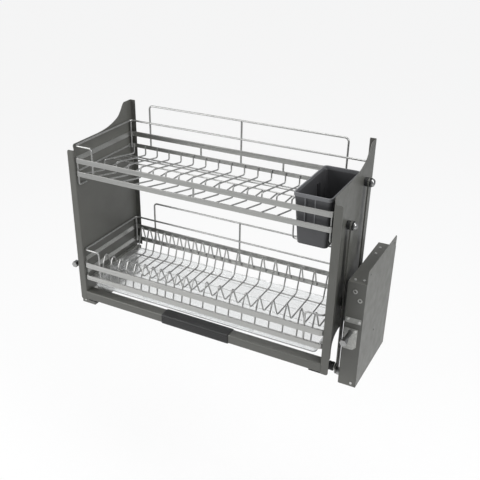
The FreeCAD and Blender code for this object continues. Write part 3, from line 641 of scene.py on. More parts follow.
    def _spin(self, loop: Verts, centre: Vector, axis: Vector, angle: float) -> Verts:
        """Draws a loop round a bend.

        Args:
            loop: The loop's vertices.
            centre: The middle of the bend.
            axis: The axis that it turns about.
            angle: How far it turns.

        Returns:
            The vertices of the new end.
        """
        steps = max(3, round(math.degrees(angle) / self.bend_step))
        return verts_of(bmesh.ops.spin(self.mesh, geom=loop + self._rim(loop), cent=centre,
                                       axis=axis, angle=angle, steps=steps,
                                       use_merge=False)["geom_last"])

    def running(self, verts: Verts, axis: int) -> Edges:
        """The edges of a block that run along an axis, 0 for X, 1 for Y and 2 for Z."""
        return list({edge for vert in verts for edge in vert.link_edges
                     if abs(edge.verts[0].co[axis] - edge.verts[1].co[axis]) > self.long_edge})

    def bevel(self, geom: Iterable[bmesh.types.BMEdge | bmesh.types.BMVert], width: float,
              segments: int, affect: str = "EDGES", clamp: bool = False) -> None:
        """Rounds edges, or the corners of flat faces.

        Args:
            geom: The edges, or the corners' vertices.
            width: The width of the rounding.
            segments: How many faces or edges it has.
            affect: EDGES for edges, or VERTICES for corners.
            clamp: Whether it stays narrower where two would meet.
        """
        bmesh.ops.bevel(self.mesh, geom=list(geom), offset=width, offset_type="OFFSET",
                        segments=segments, profile=0.5, affect=affect, clamp_overlap=clamp,
                        material=-1)

    def soften(self, width: float, segments: int = 2, limit: float = 40.0) -> None:
        """Rounds every edge that is sharper than a limit.

        Args:
            width: The width of the rounding.
            segments: How many faces it has.
            limit: The angle between faces, in degrees, past which an edge is rounded.
        """
        bmesh.ops.recalc_face_normals(self.mesh, faces=self.mesh.faces)
        sharp = [edge for edge in self.mesh.edges
                 if edge.is_manifold and edge.calc_face_angle(0.0) > math.radians(limit)]
        self.bevel(sharp, width, segments, clamp=True)

    def inset(self, faces: Faces, width: float, depth: float = 0.0) -> None:
        """Draws a region's faces in by a width and up by a depth, or down if it is negative."""
        bmesh.ops.inset_region(self.mesh, faces=faces, thickness=width, depth=depth,
                               use_even_offset=True)

    def cut(self, faces: Faces, place: Point, normal: Point, reach: float) -> None:
        """Cuts faces along a plane.

        Args:
            faces: The faces.
            place: A point on the plane.
            normal: The way that the plane faces.
            reach: How near a vertex counts as on the plane.
        """
        geom = {*faces, *(edge for face in faces for edge in face.edges),
                *(vert for face in faces for vert in face.verts)}
        bmesh.ops.bisect_plane(self.mesh, geom=list(geom), dist=reach, plane_co=place,
                               plane_no=normal)

    def fit(self, verts: Verts, old: Footprint, new: Footprint) -> None:
        """Scales vertices from one footprint to another.

        Args:
            verts: The vertices.
            old: The footprint they have: the lowest and highest X, then Y.
            new: The footprint they get.
        """
        middle = Vector(((old[0] + old[1]) / 2, (old[2] + old[3]) / 2, 0.0))
        shift = Vector(((new[0] + new[1]) / 2, (new[2] + new[3]) / 2, 0.0)) - middle
        vec = ((new[1] - new[0]) / (old[1] - old[0]), (new[3] - new[2]) / (old[3] - old[2]), 1.0)
        bmesh.ops.scale(self.mesh, verts=verts, vec=vec, space=Matrix.Translation(-middle))
        bmesh.ops.translate(self.mesh, verts=verts, vec=shift)

    def top_face(self) -> bmesh.types.BMFace:
        """The face that lies highest."""
        return max(self.mesh.faces, key=lambda face: face.calc_center_median().z)

    def draw(self, lid: bmesh.types.BMFace, rise: float, old: Footprint,
             new: Footprint) -> bmesh.types.BMFace:
        """Draws a lid face up or down and fits it to a new footprint.

        Args:
            lid: The face that is drawn.
            rise: How far it goes up.
            old: The footprint it has.
            new: The footprint it gets.

        Returns:
            The face at its new place.
        """
        drawn = bmesh.ops.extrude_face_region(self.mesh, geom=[lid])["geom"]
        verts, faces = verts_of(drawn), faces_of(drawn)
        if lid.is_valid:
            bmesh.ops.delete(self.mesh, geom=[lid], context="FACES_ONLY")
        bmesh.ops.translate(self.mesh, verts=verts, vec=(0.0, 0.0, rise))
        self.fit(verts, old, new)
        return faces[0]

    def both_sides(self) -> None:
        """Adds a mirrored copy of everything on the other side of the middle."""
        geom = self.mesh.verts[:] + self.mesh.edges[:] + self.mesh.faces[:]
        copied = bmesh.ops.duplicate(self.mesh, geom=geom)["geom"]
        bmesh.ops.scale(self.mesh, verts=verts_of(copied), vec=(-1.0, 1.0, 1.0))

    def on(self, side: Side) -> None:
        """Moves everything to its side, as a mirror does."""
        bmesh.ops.scale(self.mesh, verts=self.mesh.verts, vec=(float(side.value), 1.0, 1.0))

    def piece(self, name: str, finish: Finish, body: str, *nodes: str) -> None:
        """Turns the form into a finished piece of the rack.

        Args:
            name: The piece's name.
            finish: Its finish.
            body: The body that it moves with.
            *nodes: The nodes that it stands for.
        """
        bmesh.ops.recalc_face_normals(self.mesh, faces=self.mesh.faces)
        bmesh.ops.transform(self.mesh, matrix=TO_FRAME, verts=self.mesh.verts)
        data = bpy.data.meshes.new(name)
        self.mesh.to_mesh(data)
        self.mesh.free()
        for face in data.polygons:
            face.use_smooth = True
        data.set_sharp_from_angle(angle=math.radians(SMOOTH_ANGLE))
        data.materials.append(finish.material())
        made = bpy.data.objects.new(name, data)
        bpy.context.scene.collection.objects.link(made)
        even = made.modifiers.new("even_flats", "WEIGHTED_NORMAL")
        even.keep_sharp = True
        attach(made, body)
        if nodes:
            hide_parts(*nodes)
        log.info("%s: %d faces on %s", name, len(data.polygons), body)


def dress(finish: Finish, *nodes: str) -> None:
    """Gives carried-over nodes a finish.

    Args:
        finish: The finish.
        *nodes: The nodes' names.
    """
    for node in nodes:
        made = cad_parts[node]
        made.data.materials.clear()
        made.data.materials.append(finish.material())
        log.info("%s keeps its shape, in %s", node, finish.slot)


@dataclass
class RackSide:
    """A side panel of folded sheet.

    The foot's arch and the top's curve are points in Y and Z that a smooth line
    runs through. The nose is the cut corner in front of the curve.
    """

    side: Side
    outer: float = 361.0
    sheet: float = 1.5
    depth: float = 266.0
    flange_top: float = 453.0
    flange: float = 17.8
    flange_corner: float = 6.0
    rear_flange: float = 18.0
    rear_corner: float = 1.5
    fold: float = 2.2
    edge_soft: float = 0.35
    arch: Profile = ((69.0, 28.0), (71.5, 41.0), (78.0, 53.0), (89.0, 61.5), (107.0, 67.0))
    curve: Profile = ((233.0, 523.5), (226.0, 518.0), (213.0, 501.0), (198.0, 488.5),
                      (168.0, 477.5), (138.0, 472.0), (108.0, 470.0))
    nose: Profile = ((5.0, 470.0), (1.5, 468.5), (0.0, 465.0))

    @property
    def inner(self) -> float:
        """The place of the sheet's inner face."""
        return self.outer - self.sheet

    def build(self) -> None:
        """Folds the panel out of one sheet."""
        form = Form()
        foot_y, base_z, top_z = self.arch[0][0], self.arch[-1][1], self.curve[0][1]
        outline = [(0.0, 0.0), (foot_y, 0.0), *eased(self.arch), (self.depth, base_z),
                   (self.depth, top_z), *eased(self.curve), *self.nose, (0.0, self.flange_top)]
        web = form.mesh.faces.new([form.mesh.verts.new((self.inner, y, z)) for y, z in outline])
        bmesh.ops.recalc_face_normals(form.mesh, faces=[web])
        front, rear = (0.0, 0.0, self.flange_top), (self.depth, base_z, top_z)
        self._fold(form, self._edge(form, *front), self.flange + self.sheet, self.flange_corner)
        self._fold(form, self._edge(form, *rear), self.sheet - self.rear_flange, self.rear_corner)
        form.bevel([self._edge(form, *front), self._edge(form, *rear)], self.fold, 4)
        faces = form.mesh.faces[:]
        if web.is_valid and web.normal.x > 0:
            bmesh.ops.reverse_faces(form.mesh, faces=faces)
        bmesh.ops.solidify(form.mesh, geom=faces, thickness=self.sheet)
        form.soften(self.edge_soft, 2, limit=60.0)
        low = min(vert.co.y for vert in form.mesh.verts)
        bmesh.ops.translate(form.mesh, verts=form.mesh.verts, vec=(0.0, -low, 0.0))
        form.on(self.side)
        word = self.side.word
        form.piece(f"folded_panel_{word}", GREY_PAINT, "rack", f"side_panel_{word}")

    def _edge(self, form: Form, y: float, low: float, high: float) -> bmesh.types.BMEdge:
        """Finds the panel's upright edge between two heights.

        Args:
            form: The panel.
            y: Where the edge stands.
            low: The height of its lower end.
            high: The height of its upper end.

        Returns:
            The edge.
        """
        ends = {(y, low), (y, high)}
        for edge in form.mesh.edges:
            places = {(round(vert.co.y, 3), round(vert.co.z, 3)) for vert in edge.verts}
            if places == ends and all(abs(vert.co.x - self.inner) < 0.01 for vert in edge.verts):
                return edge
        raise ValueError(f"no edge at {y}")

    def _fold(self, form: Form, edge: bmesh.types.BMEdge, width: float, corner: float) -> None:
        """Draws a flange out of an edge and rounds its two free corners.

        Args:
            form: The panel.
            edge: The edge.
            width: How far the flange reaches along X.
            corner: The radius of its corners.
        """
        drawn = verts_of(bmesh.ops.extrude_edge_only(form.mesh, edges=[edge])["geom"])
        bmesh.ops.translate(form.mesh, verts=drawn, vec=(width, 0.0, 0.0))
        form.bevel(drawn, corner, 4, affect="VERTICES")


@dataclass
class Handle:
    """The handle bar across the foot of the rack, with its grip, feet and end angles."""

    end: float = 359.4
    depth: float = 32.0
    low: float = 3.0
    high: float = 28.0
    bar_round: float = 3.0
    grip_half: float = 102.0
    grip_proud: float = 2.5
    grip_round: float = 5.5
    grip_lip: float = 1.0
    grip_edge: float = 1.0
    end_dip: float = 0.02
    front_area: float = 900.0
    panel_margin: float = 2.2
    panel_step: float = 0.6
    foot_low: Point = (326.0, 5.0, -4.0)
    foot_high: Point = (357.5, 27.0, 2.9)
    angle_sheet: float = 1.5
    angle_inner: float = 340.0
    angle_back: float = 50.0
    angle_low: float = 8.0
    angle_high: float = 25.0

    def build(self) -> None:
        """Builds the bar, grip, feet and end angles."""
        bar = Form()
        verts = bar.slab((-self.end, 0.0, self.low), (self.end, self.depth, self.high))
        bar.bevel(bar.running(verts, 0), self.bar_round, 5)
        bar.piece("handle_tube", BAR_PAINT, "rack", "handle_bar")
        self._grip()
        feet = Form()
        feet.slab(self.foot_low, self.foot_high)
        feet.soften(1.2, 3)
        feet.both_sides()
        feet.piece("bar_end_feet", RUBBER, "rack", "bar_feet")
        angles = Form()
        wall, face = self.end - self.angle_sheet, self.depth + AIR
        angles.slab((wall, face, self.angle_low), (self.end, self.angle_back, self.angle_high))
        angles.slab((self.angle_inner, face, self.angle_low),
                    (wall, face + self.angle_sheet, self.angle_high))
        angles.soften(0.3)
        angles.both_sides()
        angles.piece("bar_end_angles", ZINC, "rack", "bar_brackets")

    def _grip(self) -> None:
        """Builds the grip as a sleeve with rounded ends and a shallow front panel."""
        form, proud = Form(), self.grip_proud
        verts = form.slab((-self.grip_half, -proud, self.low - proud),
                          (self.grip_half, self.depth + proud, self.high + proud))
        form.bevel(form.running(verts, 0), self.grip_round, 5)
        ends = [face for face in form.mesh.faces if abs(face.normal.x) > FACING]
        form.inset(ends, self.grip_lip)
        for face in ends:
            dip = (-self.end_dip * face.normal.x, 0.0, 0.0)
            bmesh.ops.translate(form.mesh, verts=face.verts, vec=dip)
        rims = [edge for edge in form.mesh.edges
                if edge.is_manifold and edge.calc_face_angle(0.0) > self.grip_edge]
        form.bevel(rims, self.grip_lip, 3, clamp=True)
        front = [face for face in form.mesh.faces
                 if face.normal.y < -SQUARE_ON and face.calc_area() > self.front_area]
        form.inset(front, self.panel_margin)
        form.inset(front, self.panel_step, -self.panel_step)
        form.piece("grip_sleeve", GRIP_PLASTIC, "rack", "handle_grip")


@dataclass
class Wirework:
    """Wires and flat rails that both baskets share."""

    frame_wire: float = 5.0
    frame_bend: float = 10.0
    floor_wire: float = 4.0
    floor_bend: float = 6.0
    floor_soft: float = 0.5
    rail: float = 2.5
    rail_end: float = 359.4
    rail_back: float = 260.8
    rail_corner: float = 12.0
    rail_return: float = 14.0
    wrap_x: float = 355.0
    bead: float = 1.5
    bead_flat: Point = (1.15, 1.15, 0.8)

    @property
    def wrap_y(self) -> float:
        """The place of the frame wire behind the front rails."""
        return self.rail + AIR + self.frame_wire / 2

    @property
    def loop_y(self) -> float:
        """The place of the wires that stand behind the rear rails."""
        return self.rail_back + AIR + self.frame_wire / 2

    def corner_reach(self, wire: float) -> float:
        """How far a wire inside a rail's corner stands from the corner's middle."""
        return (self.rail_corner - self.rail - AIR - wire / 2) * math.sqrt(0.5)

    def hoop(self, form: Form, height: Pair) -> None:
        """Adds a closed flat hoop.

        Args:
            form: The form that it goes into.
            height: Its lower and upper edge.
        """
        half, z = self.rail / 2, sum(height) / 2
        x, y0, y1 = self.rail_end - half, half, self.rail_back - half
        self._flat(form, [(0.0, y0, z), (x, y0, z), (x, y1, z), (-x, y1, z), (-x, y0, z),
                          (0.0, y0, z)], height, closed=True)

    def bar(self, form: Form, height: Pair, rear: bool, wrapped: bool = False) -> None:
        """Adds a flat bar with short returns.

        Args:
            form: The form that it goes into.
            height: Its lower and upper edge.
            rear: Whether it is the back bar.
            wrapped: Whether its ends run along the sides to the front corners.
        """
        half, z = self.rail / 2, sum(height) / 2
        x, y, tip = self.rail_end - half, half, self.rail_return
        if rear:
            y, tip = self.rail_back - half, self.rail_back - self.rail_return
        if wrapped:
            tip = self.rail_corner
        self._flat(form, [(-x, tip, z), (-x, y, z), (x, y, z), (x, tip, z)], height)

    def _flat(self, form: Form, points: Sequence[Point], height: Pair,
              closed: bool = False) -> None:
        """Sweeps a flat rail along a path, between a lower and an upper edge."""
        bends = [self.rail_corner - self.rail / 2] * (len(points) - 2)
        form.swept(points, bends, (self.rail, height[1] - height[0]), sides=4, closed=closed)

    def rod(self, form: Form, start: Point, end: Point, size: float | None = None) -> None:
        """Adds a straight round rod, as thick as the frame wire unless a size is given."""
        form.drum(start, end, (size or self.frame_wire) / 2, 12)

    def frame_run(self, form: Form, points: Sequence[Point]) -> None:
        """Adds a bent frame wire along a path."""
        size = (self.frame_wire, self.frame_wire)
        form.swept(points, [self.frame_bend] * (len(points) - 2), size, BACK)

    def floor_run(self, form: Form, points: Sequence[Point], up: Point = RIGHT,
                  bends: Sequence[float] = ()) -> None:
        """Adds a bent floor wire along a path, with floor bends unless it has its own."""
        size = (self.floor_wire, self.floor_wire)
        form.swept(points, bends or [self.floor_bend] * (len(points) - 2), size, up, 10)

    def top_wire(self, form: Form, wrap: float, high: float, low: float,
                 right: Sequence[Point] = ()) -> None:
        """Adds the frame wire that wraps a basket's sides and back.

        Args:
            form: The form that it goes into.
            wrap: How far from the middle its front legs stand.
            high: The height of the wire.
            low: The height of the legs' feet.
            right: Its path from the back right corner on, where that isn't a mirror of the left.
        """
        x, y0, y1 = self.wrap_x, self.wrap_y, self.rail_back - self.frame_wire / 2
        left = [(-wrap, y0, low), (-wrap, y0, high), (-x, y0, high), (-x, y1, high)]
        self.frame_run(form, [*left, *(right or [(-x, y, z) for x, y, z in reversed(left)])])

    def back_loop(self, form: Form, leg: float, low: float, high: float) -> None:
        """Adds a basket's raised back loop, whose legs stand this far from the middle."""
        y = self.loop_y
        self.frame_run(form, [(-leg, y, low), (-leg, y, high), (leg, y, high), (leg, y, low)])

    def corner_posts(self, form: Form, low: float, high: float) -> None:
        """Adds the upright wires in the two back corners.

        Args:
            form: The form that they go into.
            low: The height of their lower ends.
            high: The height of their upper ends.
        """
        reach = self.corner_reach(self.frame_wire) - self.rail_corner
        x, y = self.rail_end + reach, self.rail_back + reach
        for sign in (-1, 1):
            self.rod(form, (sign * x, y, low), (sign * x, y, high))

    def weld(self, form: Form, place: Point) -> None:
        """Adds the small bead that joins two crossing wires.

        Args:
            form: The form that it goes into.
            place: The middle of the bead.
        """
        ball = bmesh.ops.create_icosphere(form.mesh, subdivisions=1, radius=self.bead,
                                          matrix=Matrix.Translation(place))["verts"]
        bmesh.ops.scale(form.mesh, verts=ball, vec=self.bead_flat,
                        space=Matrix.Translation(-Vector(place)))

    def finish_rail(self, form: Form, name: str, node: str) -> None:
        """Rounds a rail's edges and makes it a piece."""
        form.soften(0.7, 3)
        form.piece(name, RAIL_STEEL, "rack", node)

    def finish_wire(self, form: Form, name: str, node: str, width: float = WIRE_SOFT) -> None:
        """Rounds the ends of wires and makes them a piece."""
        form.soften(width)
        form.piece(name, WIRE, "rack", node)


@dataclass
class UpperBasket(Wirework):
    """The upper basket for cups, bowls and glasses."""

    hoop_z: Pair = (420.0, 434.0)
    front_rail_z: Pair = (383.0, 397.0)
    rear_rail_z: Pair = (387.0, 398.5)
    top_z: float = 466.0
    wrap: float = 302.0
    end_y: float = 215.0
    end_z: float = 399.5
    loop_leg: float = 292.0
    loop_z: float = 514.5
    post_x: float = 2.0
    rear_post_x: float = 124.0
    side_rod_z: float = 394.4
    first: float = -347.0
    pitch: float = 40.0
    count: int = 15
    rear_y: float = 256.2
    rear_z: float = 397.0
    low_z: float = 369.0
    step_y: float = 113.0
    step_z: float = 394.0
    foot_z: float = 365.0
    front_y: float = 2.6
    front_z: float = 389.0
    rear_carriers: Pair = (232.0, 208.0)
    middle_carrier: float = 156.0
    front_carrier: float = 40.0
    front_carrier_start: float = 170.0
    cradle_x: Pair = (250.0, 352.3)
    cradle_low: float = 329.7
    cradle_high: float = 397.0
    short_y: Pair = (160.0, 106.5)
    hook_high: float = 432.0
    hook_low: float = 357.0
    hook_back: float = 37.8
    front_bead: float = 3.2

    def build(self) -> None:
        """Builds the rails, the frame wires and the floor."""
        hoop, front, rear = Form(), Form(), Form()
        self.hoop(hoop, self.hoop_z)
        self.finish_rail(hoop, "upper_rail_hoop", "upper_hoop")
        self.bar(front, self.front_rail_z, False)
        self.finish_rail(front, "upper_front_bar", "upper_front_rail")
        self.bar(rear, self.rear_rail_z, True)
        self.finish_rail(rear, "upper_back_bar", "upper_rear_rail")
        self._frame()
        self._floor()
        self._hooks()

    def _frame(self) -> None:
        """Builds the round wires that make the basket's frame."""
        top, loop, posts, sides = Form(), Form(), Form(), Form()
        half = self.frame_wire / 2
        x = self.rail_end - self.rail - AIR - half
        right = [(x, self.rail_back - half, self.top_z), (x, self.end_y, self.top_z),
                 (x, self.end_y, self.end_z)]
        self.top_wire(top, self.wrap, self.top_z, self.front_rail_z[0], right)
        self.finish_wire(top, "upper_frame_wire", "upper_top_wire")
        foot = self.rear_rail_z[0]
        self.back_loop(loop, self.loop_leg, foot, self.loop_z)
        self.finish_wire(loop, "upper_raised_loop", "upper_back_loop")
        x, high = self.post_x, self.hoop_z[0] - AIR
        self.rod(posts, (-x, self.loop_y, foot), (-x, self.loop_y, self.loop_z - half - AIR))
        y = half + AIR
        self.rod(posts, (x, y, self.front_rail_z[1] + AIR), (x, y, high))
        y = self.rail_back - self.rail / 2
        for x in (-self.rear_post_x, self.rear_post_x):
            self.rod(posts, (x, y, self.rear_rail_z[1] + AIR), (x, y, high))
        self.corner_posts(posts, foot, self.top_z - half - AIR)
        self.finish_wire(posts, "upper_upright_wires", "upper_posts")
        x, z, tip = self.rail_end - half, self.side_rod_z, self.rail_return + AIR
        self.rod(sides, (x, tip, z), (x, self.rail_back - tip, z))
        sides.both_sides()
        self.finish_wire(sides, "upper_side_rods", "upper_side_wires")

    def slope_z(self, y: float) -> float:
        """The height of the sloping floor wires at a depth."""
        share = (self.rear_y - y) / (self.rear_y - self.step_y)
        return self.low_z + (self.step_z - self.low_z) * share

    def _under(self, rise: float, run: float) -> float:
        """How far below a sloping wire's middle the wire under it lies."""
        return (self.floor_wire + AIR) / math.cos(math.atan(rise / run))

    def _floor(self) -> None:
        """Builds the stepped floor wires and the wires that carry them."""
        wires, carriers, short, beads = Form(), Form(), Form(), Form()
        columns = [self.first + self.pitch * index for index in range(self.count)]
        for x in columns:
            self.floor_run(wires, [(x, self.rear_y, self.rear_z), (x, self.rear_y, self.low_z),
                                   (x, self.step_y, self.step_z), (x, self.step_y, self.foot_z),
                                   (x, self.front_y, self.front_z)])
        self.finish_wire(wires, "upper_stepped_wires", "upper_floor_wires", self.floor_soft)
        lean = self._under(self.step_z - self.low_z, self.rear_y - self.step_y)
        for y in self.rear_carriers:
            z = self.slope_z(y) - lean
            self.rod(carriers, (-self.rail_end, y, z), (self.rail_end, y, z), self.floor_wire)
        below = self.floor_wire + AIR
        middle_z, step_y = self.slope_z(self.middle_carrier) - lean, self.step_y - below
        rise = self.front_z - self.foot_z
        front_z = (self.foot_z + rise * (1 - self.front_carrier / self.step_y)
                   - self._under(rise, self.step_y))
        left, right = self.cradle_x
        for start, y, z in ((-self.rail_end, self.middle_carrier, middle_z),
                            (-self.rail_end, step_y, middle_z - 2 * below),
                            (self.front_carrier_start, self.front_carrier, front_z)):
            self.floor_run(carriers, [(start, y, z), (left, y, z), (left, y, self.cradle_low),
                                      (right, y, self.cradle_low), (right, y, self.cradle_high)],
                           BACK)
        self.finish_wire(carriers, "upper_carrier_wires", "upper_long_wires", self.floor_soft)
        z = middle_z - below
        for x in (column + self.pitch / 2 for column in columns[:-1]):
            self.rod(short, (x, self.short_y[0], z), (x, self.short_y[1], z), self.floor_wire)
            self.weld(beads, (x, self.middle_carrier, z + below / 2))
            self.weld(beads, (x, step_y, z - below / 2))
        self.finish_wire(short, "upper_short_rods", "upper_short_wires", self.floor_soft)
        for x in columns:
            for y in (*self.rear_carriers, self.middle_carrier):
                self.weld(beads, (x, y, self.slope_z(y) - lean / 2))
            self.weld(beads, (x, self.front_bead, self.front_z))
        beads.piece("upper_weld_beads", WIRE, "rack")

    def _hooks(self) -> None:
        """Builds the hooked wires inside the hoop's front corners."""
        hooks, reach = Form(), self.corner_reach(self.floor_wire)
        x, y = self.rail_end - self.rail_corner + reach, self.rail_corner - reach
        self.floor_run(hooks, [(x, y, self.hook_high), (x, y, self.hook_low),
                               (x, self.hook_back, self.hook_low)])
        hooks.both_sides()
        self.finish_wire(hooks, "side_hook_wires", "side_hooks", self.floor_soft)


@dataclass
class LowerBasket(Wirework):
    """The lower basket, whose bent wires hold plates on edge.

    The outline is one plate wire in Y and Z, from the back to the front.
    """

    front_rails_z: tuple[Pair, Pair] = ((108.0, 124.0), (70.0, 84.0))
    rear_rails_z: tuple[Pair, Pair] = ((124.1, 138.0), (84.1, 98.0))
    foot_z: float = 84.0
    top_z: float = 163.0
    wrap: float = 307.0
    loop_leg: float = 289.0
    loop_z: float = 218.0
    post_x: float = -1.0
    close_first: float = -320.0
    close_pitch: float = 26.4
    close_count: int = 12
    wide_first: float = 9.0
    wide_pitch: float = 38.6
    wide_count: int = 9
    outline: Profile = ((256.2, 87.0), (238.0, 156.0), (211.0, 75.5), (84.0, 75.5), (54.0, 142.0),
                        (38.0, 110.0), (30.0, 64.0))
    bends: tuple[float, ...] = (6.0, 12.0, 12.0, 6.0, 20.0)
    carriers: Profile = ((197.0, 71.4), (78.0, 71.4), (26.5, 67.0))
    welds: Profile = ((197.0, 73.45), (78.0, 73.45), (28.6, 66.0), (257.4, 89.0))

    def build(self) -> None:
        """Builds the rails, the frame wires and the plate wires."""
        front, back, top, loop, posts = Form(), Form(), Form(), Form(), Form()
        for height in self.front_rails_z:
            self.bar(front, height, False)
        for height in self.rear_rails_z:
            self.bar(back, height, True, wrapped=True)
        self.finish_rail(front, "lower_front_bars", "lower_front_rails")
        self.finish_rail(back, "lower_back_bars", "lower_rear_rails")
        self.top_wire(top, self.wrap, self.top_z, self.front_rails_z[1][0])
        self.finish_wire(top, "lower_frame_wire", "lower_top_wire")
        self.back_loop(loop, self.loop_leg, self.foot_z, self.loop_z)
        self.finish_wire(loop, "lower_raised_loop", "lower_back_loop")
        x, y, under = self.post_x, self.loop_y, self.frame_wire / 2 + AIR
        self.rod(posts, (x, y, self.foot_z), (x, y, self.loop_z - under))
        self.corner_posts(posts, self.foot_z, self.top_z - under)
        self.finish_wire(posts, "lower_upright_wires", "lower_posts")
        self._plate_wires()

    def _plate_wires(self) -> None:
        """Builds both rows of plate wires and what carries them."""
        beads, carriers = Form(), Form()
        rows = (("close", self.close_first, self.close_pitch, self.close_count),
                ("wide", self.wide_first, self.wide_pitch, self.wide_count))
        for row, first, pitch, count in rows:
            form = Form()
            for x in (first + pitch * index for index in range(count)):
                self.floor_run(form, [(x, y, z) for y, z in self.outline], bends=self.bends)
                for y, z in self.welds:
                    self.weld(beads, (x, y, z))
            self.finish_wire(form, f"{row}_plate_wires", f"divider_wires_{row}", self.floor_soft)
        for y, z in self.carriers:
            self.rod(carriers, (-self.rail_end, y, z), (self.rail_end, y, z), self.floor_wire)
        self.finish_wire(carriers, "lower_carrier_wires", "lower_long_wires", self.floor_soft)
        beads.piece("lower_weld_beads", WIRE, "rack")


@dataclass
class CutleryBox:
    """The tapered plastic box for cutlery, with a thick rim.

    A footprint is the lowest and highest X, then Y. The panel is the pressed
    recess in the front wall: its left and right, then its foot and top. The trims
    are the ribs beside it, painted lighter as a painted highlight, and the ribs
    the low ones on the long walls, painted darker as painted shade.
    """

    foot: Footprint = (268.0, 342.0, 18.0, 196.0)
    top: Footprint = (258.0, 348.0, 12.0, 203.0)
    rim: Footprint = (256.5, 349.4, 9.0, 204.6)
    base_z: float = 332.0
    rim_z: float = 450.0
    top_z: float = 459.0
    wall: float = 1.8
    corner: float = 9.0
    band: float = 3.3
    front_zone: float = 24.0
    panel: Footprint = (286.0, 310.0, 390.0, 446.0)
    panel_edge: float = 1.2
    panel_deep: float = 2.2
    trim_half: float = 1.3
    trim_y: Pair = (13.8, 17.0)
    trim_over: float = 1.0
    rib_y: Pair = (147.0, 163.0)
    rib_depth: float = 2.0
    rib_top: float = 430.0
    rib_root: float = 0.8
    rib_soft: float = 0.4

    def build(self) -> None:
        """Builds the box, its rim and its ribs."""
        form = Form()
        x0, x1, y0, y1 = self.foot
        verts = form.slab((x0, y0, self.base_z), (x1, y1, self.rim_z))
        form.fit([vert for vert in verts if vert.co.z > self.base_z + 1], self.foot, self.top)
        form.bevel(form.running(verts, 2), self.corner, 6)
        inside = self._inner(self.top)
        lid = form.draw(form.top_face(), 0.0, self.top, inside)
        form.draw(lid, self.base_z + self.wall - self.rim_z, inside, self._inner(self.foot))
        self._press_panel(form)
        form.soften(1.0, 3, limit=50.0)
        form.piece("cutlery_bin", BOX_PLASTIC, "cutlery_box", "cutlery_box")
        self._rim()
        self._ribs()

    def _rim(self) -> None:
        """Builds the thick rim as a closed band, with the trims beside the panel."""
        band = Form()
        x0, x1, y0, y1 = self.rim
        verts = band.slab((x0, y0, self.rim_z), (x1, y1, self.top_z))
        band.bevel(band.running(verts, 2), self.corner, 6)
        flat = [face for face in band.mesh.faces if abs(face.normal.z) > FACING]
        bmesh.ops.delete(band.mesh, geom=flat, context="FACES_ONLY")
        bmesh.ops.recalc_face_normals(band.mesh, faces=band.mesh.faces)
        bmesh.ops.solidify(band.mesh, geom=band.mesh.faces[:], thickness=self.band)
        band.soften(0.8, 3, limit=50.0)
        left, right, low, _ = self.panel
        lean = self._slope(2, self.rim_z) - self._slope(2, low)
        for x in (left, right):
            trim = band.slab((x - self.trim_half, self.trim_y[0], low),
                             (x + self.trim_half, self.trim_y[1], self.rim_z + self.trim_over))
            self._lean(band, trim, Vector((0.0, lean, 0.0)))
        # Painted highlight: the rim band and its trims are the box's plastic painted lighter.
        band.piece("cutlery_rim_band", PAINTED_HIGHLIGHT_PLASTIC, "cutlery_box")

    def _ribs(self) -> None:
        """Builds the low guide ribs on the two long walls."""
        form = Form()
        for wall, inward in ((0, 1.0), (1, -1.0)):
            start = self.foot[wall] + inward * (self.wall - self.rib_root)
            end = self.foot[wall] + inward * (self.wall + self.rib_depth)
            rib = form.slab((min(start, end), self.rib_y[0], self.base_z + self.rib_root),
                            (max(start, end), self.rib_y[1], self.rib_top))
            self._lean(form, rib, Vector((self._slope(wall, self.rib_top), 0.0, 0.0)))
        form.soften(self.rib_soft)
        # Painted shade: the ribs are the box's plastic painted darker.
        form.piece("cutlery_guide_ribs", PAINTED_SHADE_PLASTIC, "cutlery_box")

    def _slope(self, wall: int, level: float) -> float:
        """How far a wall has moved outwards or inwards at a height."""
        share = (level - self.base_z) / (self.rim_z - self.base_z)
        return (self.top[wall] - self.foot[wall]) * share

    def _lean(self, form: Form, verts: Verts, shift: Vector) -> None:
        """Moves a rib's top so that it follows its wall."""
        middle = sum(vert.co.z for vert in verts) / len(verts)
        bmesh.ops.translate(form.mesh, verts=[v for v in verts if v.co.z > middle], vec=shift)

    def _inner(self, outline: Footprint) -> Footprint:
        """The footprint one wall further in."""
        x0, x1, y0, y1 = outline
        return (x0 + self.wall, x1 - self.wall, y0 + self.wall, y1 - self.wall)

    def _front_wall(self, form: Form) -> Faces:
        """The faces on both sides of the front wall."""
        return [face for face in form.mesh.faces
                if abs(face.normal.y) > FACING and face.calc_center_median().y < self.front_zone]

    def _press_panel(self, form: Form) -> None:
        """Presses a shallow upright panel into the front wall.

        Args:
            form: The box.
        """
        x0, x1, z0, z1 = self.panel
        for x in (x0, x1):
            form.cut(self._front_wall(form), (x, 0.0, 0.0), RIGHT, 0.001)
        for z in (z0, z1):
            form.cut(self._front_wall(form), (0.0, 0.0, z), UP, 0.001)
        for sign in (-1, 1):
            middles = [(face, face.calc_center_median()) for face in self._front_wall(form)
                       if face.normal.y * sign > FACING]
            pressed = [face for face, middle in middles
                       if x0 < middle.x < x1 and z0 < middle.z < z1]
            form.inset(pressed, self.panel_edge, sign * self.panel_deep)


